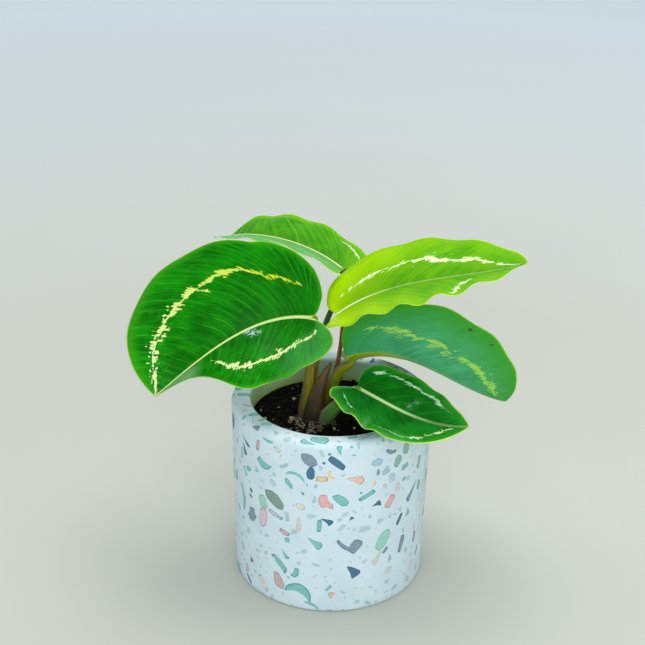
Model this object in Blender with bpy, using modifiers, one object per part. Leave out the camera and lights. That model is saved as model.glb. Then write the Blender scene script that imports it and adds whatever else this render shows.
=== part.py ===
# A young potted calathea: five waved blades on sheathed stalks in a terrazzo planter.
# Units are metres, +Z up. The origin is the middle of the planter's flat base.
# Angles are degrees: heading 0 is +X and 90 is +Y, rise is above the horizontal.

import bpy
import bmesh
import math
from mathutils import Vector

MM = 0.001
FIT_GAP = 0.3 * MM
MERGE = 0.01 * MM

# Planter
POT_TOP_RADIUS = 50 * MM
POT_BASE_RADIUS = 48 * MM
POT_HEIGHT = 97 * MM
POT_WALL = 9.6 * MM
POT_FLOOR = 10 * MM
RIM_OUTER_ROUND = 3.5 * MM
RIM_INNER_ROUND = 2 * MM
BASE_ROUND = 2 * MM
INNER_CORNER_ROUND = 4 * MM
ROUND_STEPS = 4
POT_SIDES = 64

# Potting mix
MIX_DEPTH_BELOW_RIM = 12.5 * MM
MIX_MOUND = 1.5 * MM
MIX_UNEVEN = 0.35 * MM
MIX_RIPPLES = (7 * MM, 6 * MM, 11 * MM)
MIX_RINGS = 6
MIX_SIDES = 40

# Rhizome and the hole it stands in
BUNDLE_CENTRE = Vector((-7.4 * MM, -2.2 * MM, 0))
HOLE_RADIUS = 10.8 * MM
RHIZOME_RADIUS = HOLE_RADIUS - FIT_GAP
RHIZOME_BOTTOM = 62 * MM
RHIZOME_TOP = 74.4 * MM
RHIZOME_ROUND = 2 * MM
RHIZOME_SIDES = 20

# Blades. A vein leaves the midrib and sweeps forward to the edge; lobes end at LOBE_SHARE.
BLADE_THICKNESS = 0.7 * MM
MIDRIB_BASE_DEPTH = 2.2 * MM
MIDRIB_TIP_DEPTH = 1.0 * MM
LOBE_SHARE = 0.35
VEIN_SWEEP = 1.2
VEIN_START = 2.0
TAPER_FROM = 0.6
MIDRIB_STEPS = 200
FLAT_CURL = 0.01
VEIN_ROWS = 32
HALF_COLUMNS = 5
SMALL_VEIN_ROWS = 26
SMALL_HALF_COLUMNS = 4

# Stalks
STALK_SIDES_RESOLUTION = 3
STALK_STEPS = 5

# The blades, in mm and degrees. Left and right are as seen from the stalk, looking to the tip.
# base is where the midrib starts, heading and rise its way at its base, middle and tip, and
# roll the blade's turn about it at base and tip. half_width, lobe and curl are the left and
# the right half's width, reach back past the base, and bend from midrib to edge. widest is
# how far along the blade is widest, a lower fullness gives rounder ends, and taper draws out
# the tip. fold is how far a half is raised at base and tip, and wave the edge's height, length
# and phase.
LEAVES = {
    "left": dict(
        base=(-11, -4, 141), heading=(168, 201, 230), rise=(1, -27, -15), roll=(-61, 0),
        length=88, half_width=(44, 53), lobe=(18, 9), widest=0.53, fullness=1.28, taper=0.24,
        fold_left=(11, 40), fold_right=(22, 15), curl=(0, -28),
        wave_left=(3.5, 40, 144), wave_right=(1.0, 24, 40),
        colour=(0.016, 0.190, 0.014), roughness=0.38),
    "back": dict(
        base=(5, 38.5, 148), heading=(140, 150, 137), rise=(22, 2, -22), roll=(6, -5),
        length=77, half_width=(28, 28), lobe=(8, 8), widest=0.48, fullness=0.72, taper=0.3,
        fold_left=(21, 15), fold_right=(10, 13), curl=(0, -12),
        wave_left=(0.8, 20, 0), wave_right=(0.8, 22, 0),
        colour=(0.105, 0.340, 0.012), roughness=0.42),
    "upper": dict(
        base=(2, 5, 139), heading=(-2, -8, -15), rise=(41, 15, 24), roll=(10, -1),
        length=97, half_width=(33, 33), lobe=(8, 7), widest=0.48, fullness=1.08, taper=0.27,
        fold_left=(14, 9), fold_right=(14, 10), curl=(0, -4),
        wave_left=(0.8, 24, 90), wave_right=(2.2, 20, 90),
        colour=(0.230, 0.560, 0.010), roughness=0.42),
    "right": dict(
        base=(6, -2, 119), heading=(24, 15, 16), rise=(9, -31, -20), roll=(-43, -31),
        length=97, half_width=(36, 39), lobe=(0, 5), widest=0.47, fullness=0.87, taper=0.15,
        fold_left=(19, 22), fold_right=(31, 21), curl=(0, 0),
        wave_left=(0.8, 24, 0), wave_right=(0.8, 26, 0),
        colour=(0.050, 0.270, 0.055), roughness=0.50),
    "front": dict(
        base=(12, -17, 110), heading=(-40, -33, -16), rise=(-5, -6, 15), roll=(13, 4),
        length=60, half_width=(24, 23), lobe=(7, 10), widest=0.47, fullness=1.0, taper=0.69,
        fold_left=(13, -3), fold_right=(20, 5), curl=(-10, -15),
        wave_left=(0.6, 18, 30), wave_right=(1.0, 18, 30),
        colour=(0.012, 0.155, 0.016), roughness=0.36),
}
SMALL_LEAVES = {"front"}

# Each stalk: points in mm from the rhizome up to just under the blade, and the radius at each.
# meets is where it then ends, along the midrib from its start and below it, and the radius there.
STALKS = {
    "left": dict(
        route=((-13.6, -1.6, 75), (-13.8, -2.6, 88), (-11.6, -2.8, 105), (-10.8, -0.6, 123),
               (-10.0, -0.6, 132)),
        radii=(3.0, 3.1, 2.7, 1.9, 1.6), meets=(-1.0, 3.15, 1.8), colour=(0.150, 0.130, 0.018)),
    "back": dict(
        route=((-10.6, 4.4, 75), (-9.4, 5.6, 92), (-4.6, 11.5, 109), (2.2, 23.5, 125), (5.6, 33.5, 138)),
        radii=(2.3, 2.3, 1.9, 1.5, 1.3), meets=(-1.0, 1.85, 1.6), colour=(0.330, 0.230, 0.070)),
    "upper": dict(
        route=((-5.4, 4.6, 75), (-3.6, 5.0, 90), (0.8, 4.8, 108), (3.0, 5.0, 122), (4.4, 5.0, 131)),
        radii=(2.1, 2.0, 1.4, 1.2, 1.2), meets=(3.0, 3.5, 1.5), colour=(0.270, 0.095, 0.025)),
    "right": dict(
        route=((-6.3, -0.4, 75), (-4.6, -0.8, 90), (0.2, -1.6, 103), (3.8, -2.8, 112)),
        radii=(2.8, 3.0, 2.9, 2.4), meets=(1.0, 4.2, 1.9), colour=(0.130, 0.170, 0.012)),
    "front": dict(
        route=((-1.8, -5.6, 75), (-1.6, -7.2, 87), (2.2, -10.2, 95), (6.5, -13.5, 102.5)),
        radii=(2.5, 2.8, 2.5, 1.9), meets=(-1.2, 1.6, 1.8), colour=(0.110, 0.120, 0.050)),
}
STALK_ROUGHNESS = 0.5

# The pointed sheath that stands in front of the stalks
SHEATH_ROUTE = ((-9.8, -5.4, 75), (-9.4, -6.9, 86), (-7.6, -7.2, 98), (-4.6, -6.4, 109), (-0.8, -5.0, 117.5))
SHEATH_WIDTHS = (3.6, 4.2, 3.6, 2.3, 0.5)
SHEATH_FLATNESS = 0.5
SHEATH_COLOUR = (0.100, 0.058, 0.050)

POT_COLOUR = (0.650, 0.740, 0.790)
MIX_COLOUR = (0.020, 0.014, 0.010)
RHIZOME_COLOUR = (0.160, 0.100, 0.050)
POT_ROUGHNESS = 0.6
MIX_ROUGHNESS = 0.95


def clear_scene():
    for thing in list(bpy.data.objects):
        bpy.data.objects.remove(thing, do_unlink=True)


def new_collection(name):
    group = bpy.data.collections.new(name)
    bpy.context.scene.collection.children.link(group)
    return group


def principled(name, colour, roughness):
    material = bpy.data.materials.new(name)
    material.use_nodes = True
    shader = material.node_tree.nodes["Principled BSDF"]
    shader.inputs["Base Color"].default_value = (*colour, 1.0)
    shader.inputs["Roughness"].default_value = roughness
    shader.inputs["Metallic"].default_value = 0.0
    return material


def add_object(name, data, group, material=None):
    thing = bpy.data.objects.new(name, data)
    group.objects.link(thing)
    if material:
        data.materials.append(material)
    return thing


def mesh_from(name, vertices, edges, faces):
    mesh = bpy.data.meshes.new(name)
    mesh.from_pydata([tuple(point) for point in vertices], edges, faces)
    return mesh


def arc(centre_x, centre_z, radius, start, end):
    """Points of a rounded corner, angles in degrees."""
    angles = [math.radians(start + (end - start) * step / ROUND_STEPS) for step in range(ROUND_STEPS + 1)]
    return [(centre_x + radius * math.cos(a), centre_z + radius * math.sin(a)) for a in angles]


def turned(name, profile, sides, group, material):
    """A profile of (radius, height) points, turned round Z by a Screw modifier."""
    points = [(radius, 0, height) for radius, height in profile]
    mesh = mesh_from(name, points, [(i, i + 1) for i in range(len(points) - 1)], [])
    thing = add_object(name, mesh, group, material)
    screw = thing.modifiers.new("turn", "SCREW")
    screw.steps = sides
    screw.render_steps = sides
    screw.use_merge_vertices = True
    screw.merge_threshold = MERGE
    screw.use_smooth_shade = True
    return thing


def make_pot(group):
    inner = POT_TOP_RADIUS - POT_WALL
    profile = [(0, POT_FLOOR)]
    profile += arc(inner - INNER_CORNER_ROUND, POT_FLOOR + INNER_CORNER_ROUND, INNER_CORNER_ROUND, -90, 0)
    profile += arc(inner + RIM_INNER_ROUND, POT_HEIGHT - RIM_INNER_ROUND, RIM_INNER_ROUND, 180, 90)
    profile += arc(POT_TOP_RADIUS - RIM_OUTER_ROUND, POT_HEIGHT - RIM_OUTER_ROUND, RIM_OUTER_ROUND, 90, 0)
    profile += arc(POT_BASE_RADIUS - BASE_ROUND, BASE_ROUND, BASE_ROUND, 0, -90)
    profile += [(0, 0)]
    return turned("pot", profile, POT_SIDES, group, principled("terrazzo", POT_COLOUR, POT_ROUGHNESS))


def mix_height(x, y, radius):
    """Height of the mix above its edge: a low mound, a little uneven."""
    share = math.hypot(x, y) / radius
    mound = MIX_MOUND * (1 - share ** 2)
    across, along, slanted = MIX_RIPPLES
    ripple = math.sin(x / across) * math.cos(y / along) + math.sin((x - y) / slanted)
    return mound + MIX_UNEVEN * ripple * (1 - share ** 4)


def evaluated_mesh(thing, name):
    """The object's mesh with its modifiers applied."""
    bpy.context.view_layer.update()
    depsgraph = bpy.context.evaluated_depsgraph_get()
    mesh = bpy.data.meshes.new_from_object(thing.evaluated_get(depsgraph))
    mesh.name = name
    return mesh


def make_hole(cutters):
    """The cutter for the plain hole in the mix, from above its surface to the rhizome's underside."""
    depth = POT_HEIGHT - RHIZOME_BOTTOM + FIT_GAP
    mesh = bpy.data.meshes.new("stem_hole")
    build = bmesh.new()
    bmesh.ops.create_cone(build, cap_ends=True, segments=MIX_SIDES, radius1=HOLE_RADIUS,
                          radius2=HOLE_RADIUS, depth=depth)
    build.to_mesh(mesh)
    build.free()
    hole = add_object("stem_hole", mesh, cutters)
    hole.location = BUNDLE_CENTRE + Vector((0, 0, POT_HEIGHT - depth / 2))
    hole.hide_render = True
    hole.display_type = "WIRE"
    return hole


def make_mix(group, cutters):
    """The mix fills the planter, with a plain hole for the stems."""
    radius = POT_TOP_RADIUS - POT_WALL - FIT_GAP
    edge = POT_HEIGHT - MIX_DEPTH_BELOW_RIM
    bottom = POT_FLOOR + FIT_GAP
    corner = INNER_CORNER_ROUND
    profile = [(radius * ring / MIX_RINGS, edge) for ring in range(MIX_RINGS + 1)]
    profile += arc(radius - corner, bottom + corner, corner, 0, -90)
    profile += [(0, bottom)]
    plain = turned("mix_profile", profile, MIX_SIDES, group, None)
    mesh = evaluated_mesh(plain, "potting_mix")
    bpy.data.objects.remove(plain, do_unlink=True)
    for vertex in mesh.vertices:
        if vertex.co.z > edge - FIT_GAP:
            vertex.co.z += mix_height(vertex.co.x, vertex.co.y, radius)
    mix = add_object("potting_mix", mesh, group, principled("mix", MIX_COLOUR, MIX_ROUGHNESS))
    cut = mix.modifiers.new("stem_hole", "BOOLEAN")
    cut.object = make_hole(cutters)
    cut.solver = "EXACT"
    return mix


def make_rhizome(group):
    profile = [(0, RHIZOME_TOP)]
    profile += arc(RHIZOME_RADIUS - RHIZOME_ROUND, RHIZOME_TOP - RHIZOME_ROUND, RHIZOME_ROUND, 90, 0)
    profile += arc(RHIZOME_RADIUS - RHIZOME_ROUND, RHIZOME_BOTTOM + RHIZOME_ROUND, RHIZOME_ROUND, 0, -90)
    profile += [(0, RHIZOME_BOTTOM)]
    colour = principled("rhizome", RHIZOME_COLOUR, MIX_ROUGHNESS)
    rhizome = turned("rhizome", profile, RHIZOME_SIDES, group, colour)
    rhizome.location = BUNDLE_CENTRE
    return rhizome


def through_three(values, share):
    """The value at a share of the way along a smooth run through its base, middle and tip values."""
    start, middle, end = values
    rest = 1 - share
    return start * rest * (1 - 2 * share) + middle * 4 * share * rest + end * share * (2 * share - 1)


def between(values, share):
    return values[0] + (values[1] - values[0]) * share


def midrib_frames(leaf):
    """Along the midrib: point, forward, left and up, from base to tip."""
    point = Vector(leaf["base"]) * MM
    step = leaf["length"] * MM / MIDRIB_STEPS
    frames = []
    for index in range(MIDRIB_STEPS + 1):
        share = index / MIDRIB_STEPS
        heading = math.radians(through_three(leaf["heading"], share))
        rise = math.radians(through_three(leaf["rise"], share))
        roll = math.radians(between(leaf["roll"], share))
        level = Vector((math.cos(heading), math.sin(heading), 0))
        forward = level * math.cos(rise) + Vector((0, 0, math.sin(rise)))
        side = Vector((-math.sin(heading), math.cos(heading), 0))
        top = forward.cross(side)
        left = side * math.cos(roll) + top * math.sin(roll)
        up = top * math.cos(roll) - side * math.sin(roll)
        frames.append((point.copy(), forward, left, up))
        point += forward * step
    return frames


def frame_at(frames, share):
    place = min(max(share, 0), 1) * MIDRIB_STEPS
    index = min(int(place), MIDRIB_STEPS - 1)
    part = place - index
    return [a.lerp(b, part) for a, b in zip(frames[index], frames[index + 1])]


def flat_outline(leaf, vein, out):
    """Where a point lies on the flat blade: along the midrib, and out to the left, in metres.

    vein runs 0 to 1 from the base to the tip, and out -1 to 1 from the right edge to the left."""
    half = 0 if out >= 0 else 1
    length = leaf["length"] * MM
    width = leaf["half_width"][half] * MM
    reach = (1 - math.cos(math.pi * vein)) / 2
    lobe = leaf["lobe"][half] * MM * math.sin(math.pi * min(vein / LOBE_SHARE, 1))
    skew = vein ** (math.log(0.5) / math.log(leaf["widest"]))
    taper = 1 - leaf["taper"] * max((vein - TAPER_FROM) / (1 - TAPER_FROM), 0) ** 2
    edge_along = length * reach - lobe
    edge_out = width * max(math.sin(math.pi * skew), 0) ** leaf["fullness"] * taper
    start = length * reach ** VEIN_START
    along = start + (edge_along - start) * abs(out) ** VEIN_SWEEP
    return along, edge_out * out


def blade_point(leaf, frames, vein, out):
    """The same point on the folded, curled and waved blade."""
    half = 0 if out >= 0 else 1
    length = leaf["length"] * MM
    width = leaf["half_width"][half] * MM
    along, across = flat_outline(leaf, vein, out)
    share = along / length
    point, forward, left, up = frame_at(frames, share)
    point = point + forward * min(along, 0)
    side = left if out >= 0 else -left
    across = abs(across)
    inside = min(max(share, 0), 1)
    fold = math.radians(between(leaf["fold_left"] if half == 0 else leaf["fold_right"], inside))
    bend = math.radians(leaf["curl"][half] or FLAT_CURL) / width
    outward = (math.sin(fold + bend * across) - math.sin(fold)) / bend
    upward = (math.cos(fold) - math.cos(fold + bend * across)) / bend
    height, length_of_wave, start = leaf["wave_left"] if half == 0 else leaf["wave_right"]
    turns = along / (length_of_wave * MM)
    wave = height * MM * math.sin(2 * math.pi * turns + math.radians(start))
    wave *= out ** 2 * math.sin(math.pi * vein)
    return point + side * outward + up * (upward + wave)


def make_blade(name, leaf, group):
    """A blade is its upper face, split into triangles, and a Solidify that is deeper at the midrib."""
    rows = SMALL_VEIN_ROWS if name in SMALL_LEAVES else VEIN_ROWS
    columns = SMALL_HALF_COLUMNS if name in SMALL_LEAVES else HALF_COLUMNS
    frames = midrib_frames(leaf)
    build = bmesh.new()
    depth_layer = build.verts.layers.deform.verify()
    grid = []
    for row in range(rows + 1):
        vein = row / rows
        line = []
        for column in range(-columns, columns + 1):
            out = column / columns
            vertex = build.verts.new(blade_point(leaf, frames, vein, out))
            midrib = between((MIDRIB_BASE_DEPTH, MIDRIB_TIP_DEPTH), vein)
            depth = midrib if column == 0 else BLADE_THICKNESS
            vertex[depth_layer][0] = depth / MIDRIB_BASE_DEPTH
            line.append(vertex)
        grid.append(line)
    for lower, upper in zip(grid, grid[1:]):
        for column in range(2 * columns):
            a, b, c, d = lower[column], lower[column + 1], upper[column + 1], upper[column]
            if column < columns:
                build.faces.new((a, d, b))
                build.faces.new((b, d, c))
            else:
                build.faces.new((a, c, b))
                build.faces.new((a, d, c))
    bmesh.ops.remove_doubles(build, verts=build.verts, dist=MERGE)
    mesh = bpy.data.meshes.new("blade_" + name)
    build.to_mesh(mesh)
    build.free()
    mesh.shade_smooth()
    colour = principled("blade_" + name, leaf["colour"], leaf["roughness"])
    blade = add_object("blade_" + name, mesh, group, colour)
    blade.vertex_groups.new(name="depth")
    solid = blade.modifiers.new("thickness", "SOLIDIFY")
    solid.thickness = MIDRIB_BASE_DEPTH
    solid.offset = -1
    solid.vertex_group = "depth"
    return blade


def bevelled_curve(name, points, radii, group, material):
    """A tapered tube with filled caps along a smooth route."""
    curve = bpy.data.curves.new(name, "CURVE")
    curve.dimensions = "3D"
    curve.resolution_u = STALK_STEPS
    curve.bevel_depth = max(radii)
    curve.bevel_resolution = STALK_SIDES_RESOLUTION
    curve.use_fill_caps = True
    spline = curve.splines.new("BEZIER")
    spline.bezier_points.add(len(points) - 1)
    for knot, point, radius in zip(spline.bezier_points, points, radii):
        knot.co = point
        knot.radius = radius / max(radii)
        knot.handle_left_type = "AUTO"
        knot.handle_right_type = "AUTO"
    return add_object(name, curve, group, material)


def make_stalk(name, stalk, leaf, group):
    """A stalk tapers from the rhizome and swells again into its pulvinus under the blade's base."""
    along, below, radius = [value * MM for value in stalk["meets"]]
    point, forward, _, up = midrib_frames(leaf)[0]
    route = [Vector(place) * MM for place in stalk["route"]] + [point + forward * along - up * below]
    radii = [value * MM for value in stalk["radii"]] + [radius]
    colour = principled("stalk_" + name, stalk["colour"], STALK_ROUGHNESS)
    return bevelled_curve("stalk_" + name, route, radii, group, colour)


def make_sheath(group, guides):
    """A flattened, pointed roll, swept along its route on an oval section."""
    widest = max(SHEATH_WIDTHS) * MM
    section = bpy.data.curves.new("sheath_section", "CURVE")
    section.dimensions = "2D"
    ring = section.splines.new("POLY")
    sides = 4 * STALK_SIDES_RESOLUTION
    ring.points.add(sides - 1)
    ring.use_cyclic_u = True
    for index, knot in enumerate(ring.points):
        angle = -2 * math.pi * index / sides
        knot.co = (widest * math.cos(angle), widest * SHEATH_FLATNESS * math.sin(angle), 0, 1)
    oval = add_object("sheath_section", section, guides)
    oval.hide_render = True
    oval.display_type = "WIRE"
    points = [Vector(place) * MM for place in SHEATH_ROUTE]
    radii = [width * MM for width in SHEATH_WIDTHS]
    colour = principled("sheath", SHEATH_COLOUR, STALK_ROUGHNESS)
    sheath = bevelled_curve("sheath", points, radii, group, colour)
    sheath.data.bevel_mode = "OBJECT"
    sheath.data.bevel_object = oval
    return sheath


def build_calathea():
    clear_scene()
    parts = new_collection("potted_calathea")
    cutters = new_collection("cutters_and_guides")
    make_pot(parts)
    make_mix(parts, cutters)
    make_rhizome(parts)
    for name, stalk in STALKS.items():
        make_stalk(name, stalk, LEAVES[name], parts)
    make_sheath(parts, cutters)
    for name, leaf in LEAVES.items():
        make_blade(name, leaf, parts)


build_calathea()
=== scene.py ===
import math
import random

import bpy
import numpy as np
from mathutils import Matrix, Vector, noise
from mathutils.geometry import delaunay_2d_cdt


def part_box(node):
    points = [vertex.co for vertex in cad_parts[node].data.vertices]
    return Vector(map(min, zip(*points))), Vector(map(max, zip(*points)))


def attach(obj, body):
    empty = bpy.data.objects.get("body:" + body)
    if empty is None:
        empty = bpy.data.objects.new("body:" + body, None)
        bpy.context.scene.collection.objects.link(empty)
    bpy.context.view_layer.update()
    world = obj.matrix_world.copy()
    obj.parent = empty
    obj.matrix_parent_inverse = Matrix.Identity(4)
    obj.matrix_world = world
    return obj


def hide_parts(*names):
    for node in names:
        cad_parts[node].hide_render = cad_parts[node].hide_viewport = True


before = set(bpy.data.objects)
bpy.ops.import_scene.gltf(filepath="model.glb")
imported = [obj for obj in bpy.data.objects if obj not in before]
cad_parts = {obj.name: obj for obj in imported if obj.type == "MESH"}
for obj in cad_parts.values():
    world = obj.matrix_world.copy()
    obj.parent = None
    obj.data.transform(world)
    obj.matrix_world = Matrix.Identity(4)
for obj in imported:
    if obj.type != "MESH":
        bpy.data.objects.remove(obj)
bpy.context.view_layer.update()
# Sizes below are in millimetres, and this turns them into metres.
MM = 0.001

# The view. The camera stands two thirds of a metre in front of the planter and looks down on it
# at 25 degrees, through a lens long enough to keep the planter's sides almost upright.
CAMERA_PLACE = Vector((-5.3, -659.2, 449.6))
CAMERA_PITCH = math.radians(25.4)
CAMERA_ROLL = math.radians(1.0)
SENSOR_WIDTH = 36.0
FOCAL_LENGTH = 83.72

camera_data = bpy.data.cameras.new("camera")
camera_data.sensor_width = SENSOR_WIDTH
camera_data.lens = FOCAL_LENGTH
camera = bpy.data.objects.new("camera", camera_data)
bpy.context.scene.collection.objects.link(camera)
level_to_tilted = Matrix.Rotation(math.pi / 2 - CAMERA_PITCH, 4, "X") @ Matrix.Rotation(CAMERA_ROLL, 4, "Z")
camera.matrix_world = Matrix.Translation(CAMERA_PLACE * MM) @ level_to_tilted
bpy.context.scene.camera = camera

# The studio. A pale matte board fills the view, and wide panels give soft light: one overhead,
# which glazes the tops of the leaves, and one in front for the planter.
FLOOR_SIZE = 20000
FLOOR_PALE = "#CCCEC4"
FLOOR_SHADE = "#C6C6BA"
FLOOR_FAR = "#F0F8FC"
FADE_FROM, FADE_TO = 330, 1200
CLOUD_SIZE = 400
SKY = "#EAF1F6"
SKY_STRENGTH = 0.72
PANELS = {
    "panel_overhead": dict(place=(110, 200, 950), aims=(0, 0, 90), size=700, watts=4.5, colour="#FFFFFF"),
    "panel_front": dict(place=(40, -1120, 620), aims=(0, 0, 60), size=900, watts=7.0, colour="#F4F9FF"),
}


def linear(hex_code):
    """An sRGB colour such as "#DCDAD2" as the linear values that a shader takes."""
    channels = [int(hex_code[i:i + 2], 16) / 255 for i in (1, 3, 5)]
    return *(c / 12.92 if c <= 0.04045 else ((c + 0.055) / 1.055) ** 2.4 for c in channels), 1.0


def new_material(name):
    """A material, its node tree and its Principled shader."""
    material = bpy.data.materials.new(name)
    material.use_nodes = True
    return material, material.node_tree, material.node_tree.nodes["Principled BSDF"]


def set_inputs(node, inputs):
    """Sets a node's inputs. Each takes a number, a colour, a socket, or another node's first output."""
    for name, value in inputs.items():
        if isinstance(value, bpy.types.Node):
            value = value.outputs[0]
        if isinstance(value, bpy.types.NodeSocket):
            node.id_data.links.new(value, node.inputs[name])
        else:
            node.inputs[name].default_value = value


def add_node(tree, kind, inputs, **settings):
    """Adds one shader node of a kind such as "MixRGB", with its settings, numbers and links."""
    node = tree.nodes.new("ShaderNode" + kind)
    for name, value in settings.items():
        setattr(node, name, value)
    set_inputs(node, inputs)
    return node


def mesh_in_mm(name, points, faces):
    """A smooth-shaded mesh from points in millimetres."""
    mesh = bpy.data.meshes.new(name)
    mesh.from_pydata([Vector(point) * MM for point in points], [], faces)
    mesh.shade_smooth()
    return mesh


def show(name, mesh, *materials):
    """Puts a finished mesh in the scene, at the origin."""
    for material in materials:
        mesh.materials.append(material)
    thing = bpy.data.objects.new(name, mesh)
    bpy.context.scene.collection.objects.link(thing)
    return thing


board, tree, shader = new_material("painted_board_rolled_matte")
# Rolled emulsion: no gloss, a faint cloudiness, and a graded tint that lightens away from the planter.
place = add_node(tree, "TexCoord", {}).outputs["Object"]
clouds = add_node(tree, "TexNoise", {"Vector": place, "Scale": 1 / (CLOUD_SIZE * MM)})
tint = add_node(tree, "MixRGB", {"Fac": clouds, "Color1": linear(FLOOR_PALE), "Color2": linear(FLOOR_SHADE)})
away = add_node(tree, "VectorMath", {0: place}, operation="LENGTH")
fade = add_node(tree, "MapRange",
                {"Value": away.outputs["Value"], "From Min": FADE_FROM * MM, "From Max": FADE_TO * MM})
tint = add_node(tree, "MixRGB", {"Fac": fade, "Color1": tint, "Color2": linear(FLOOR_FAR)})
set_inputs(shader, {"Base Color": tint, "Roughness": 0.9, "Specular IOR Level": 0.2})
half = FLOOR_SIZE / 2
floor_mesh = mesh_in_mm("floor", [(-half, -half, 0), (half, -half, 0), (half, half, 0), (-half, half, 0)],
                        [(0, 1, 2, 3)])
floor = show("floor", floor_mesh, board)

world = bpy.data.worlds.new("studio")
world.use_nodes = True
set_inputs(world.node_tree.nodes["Background"], {"Color": linear(SKY), "Strength": SKY_STRENGTH})
bpy.context.scene.world = world
for name, panel in PANELS.items():
    light_data = bpy.data.lights.new(name, "AREA")
    light_data.size = panel["size"] * MM
    light_data.energy = panel["watts"]
    light_data.color = linear(panel["colour"])[:3]
    light = bpy.data.objects.new(name, light_data)
    bpy.context.scene.collection.objects.link(light)
    light.location = Vector(panel["place"]) * MM
    towards = (Vector(panel["aims"]) - Vector(panel["place"])).normalized()
    light.rotation_euler = towards.to_track_quat("-Z", "Y").to_euler()
bpy.context.scene.view_settings.view_transform = "Standard"

# The planter. Cement terrazzo, cast in a mould and ground flush, so that each stone shows its
# cut face level with the cement. The wall leans out a little, and the rim and foot are rounded.
pot_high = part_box("pot")[1]
POT_HEIGHT = pot_high.z / MM
POT_TOP_RADIUS = pot_high.x / MM
POT_BASE_RADIUS = 48
POT_WALL = 9.6
POT_FLOOR = 10
RIM_OUTER_ROUND = 3.5
RIM_INNER_ROUND = 2
FOOT_ROUND = 2
INNER_CORNER = 4
STONES_END = 68
ROW_SPACING = 2.4
POT_COLUMNS = 144
SHARP_EDGE = 50
CEMENT = "#D6E6EC"
CEMENT_DAMP = "#CDDFE6"
# The green of the inside wall above the mix, and where it lies: painted reflection of light from the leaves.
LEAF_GREEN_REFLECTION = "#A8CC62"
REFLECTION_BOTTOM, REFLECTION_TOP = 85, 97
REFLECTION_MARGIN = 0.4
CEMENT_CLOUD = 14
PORE_SPACING = 2.2
SAND_GRAIN = 0.5
STONE_MOTTLE = 1.1
STONE_COLOURS = {
    "teal": "#82C4BA", "mint": "#A0D4C2", "sage": "#8FBCA8", "olive": "#869F92", "slate": "#8798A6",
    "navy": "#4C7590", "rose": "#E8B0AE", "salmon": "#F0C6B0", "pink": "#E2C2CC", "ochre": "#EFC798",
    "clay": "#CEB2B0", "mauve": "#CCC6D0", "sand": "#E3DECA", "mist": "#A8C6D2", "fog": "#B8D0D2",
    "shell": "#CFD0CC", "haze": "#B6D0D8",
}
# How chips break, as clockwise outlines from -1 to 1 along the chip and across it.
CUTS = {
    "oval": ((-1, 0.1), (-0.75, 0.75), (0, 1), (0.75, 0.7), (1, -0.1), (0.6, -0.85), (-0.1, -1),
             (-0.8, -0.6)),
    "block": ((-1, -0.7), (-0.9, 0.9), (0.1, 0.95), (0.95, 0.8), (1, -0.5), (0.5, -1)),
    "bar": ((-1, -0.7), (-0.95, 0.8), (-0.5, 1), (0, 0.9), (0.5, 1), (0.95, 0.9), (1, -0.6), (0.5, -0.9),
            (0, -1), (-0.5, -0.85)),
    "wedge": ((-1, 0.3), (-0.2, 0.7), (0.75, 1), (1, 0.4), (0.7, -1), (0, -0.3)),
    "kite": ((-1, -0.6), (-0.8, 0.4), (-0.1, 1), (0.75, 0.85), (1, 0.2), (0.6, -0.6), (-0.3, -1)),
    "twin": ((-1, -0.3), (-0.7, 0.9), (0, 0.6), (0.6, 1), (1, 0.3), (0.6, -0.2), (0.5, -1), (-0.5, -0.9)),
}
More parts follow.
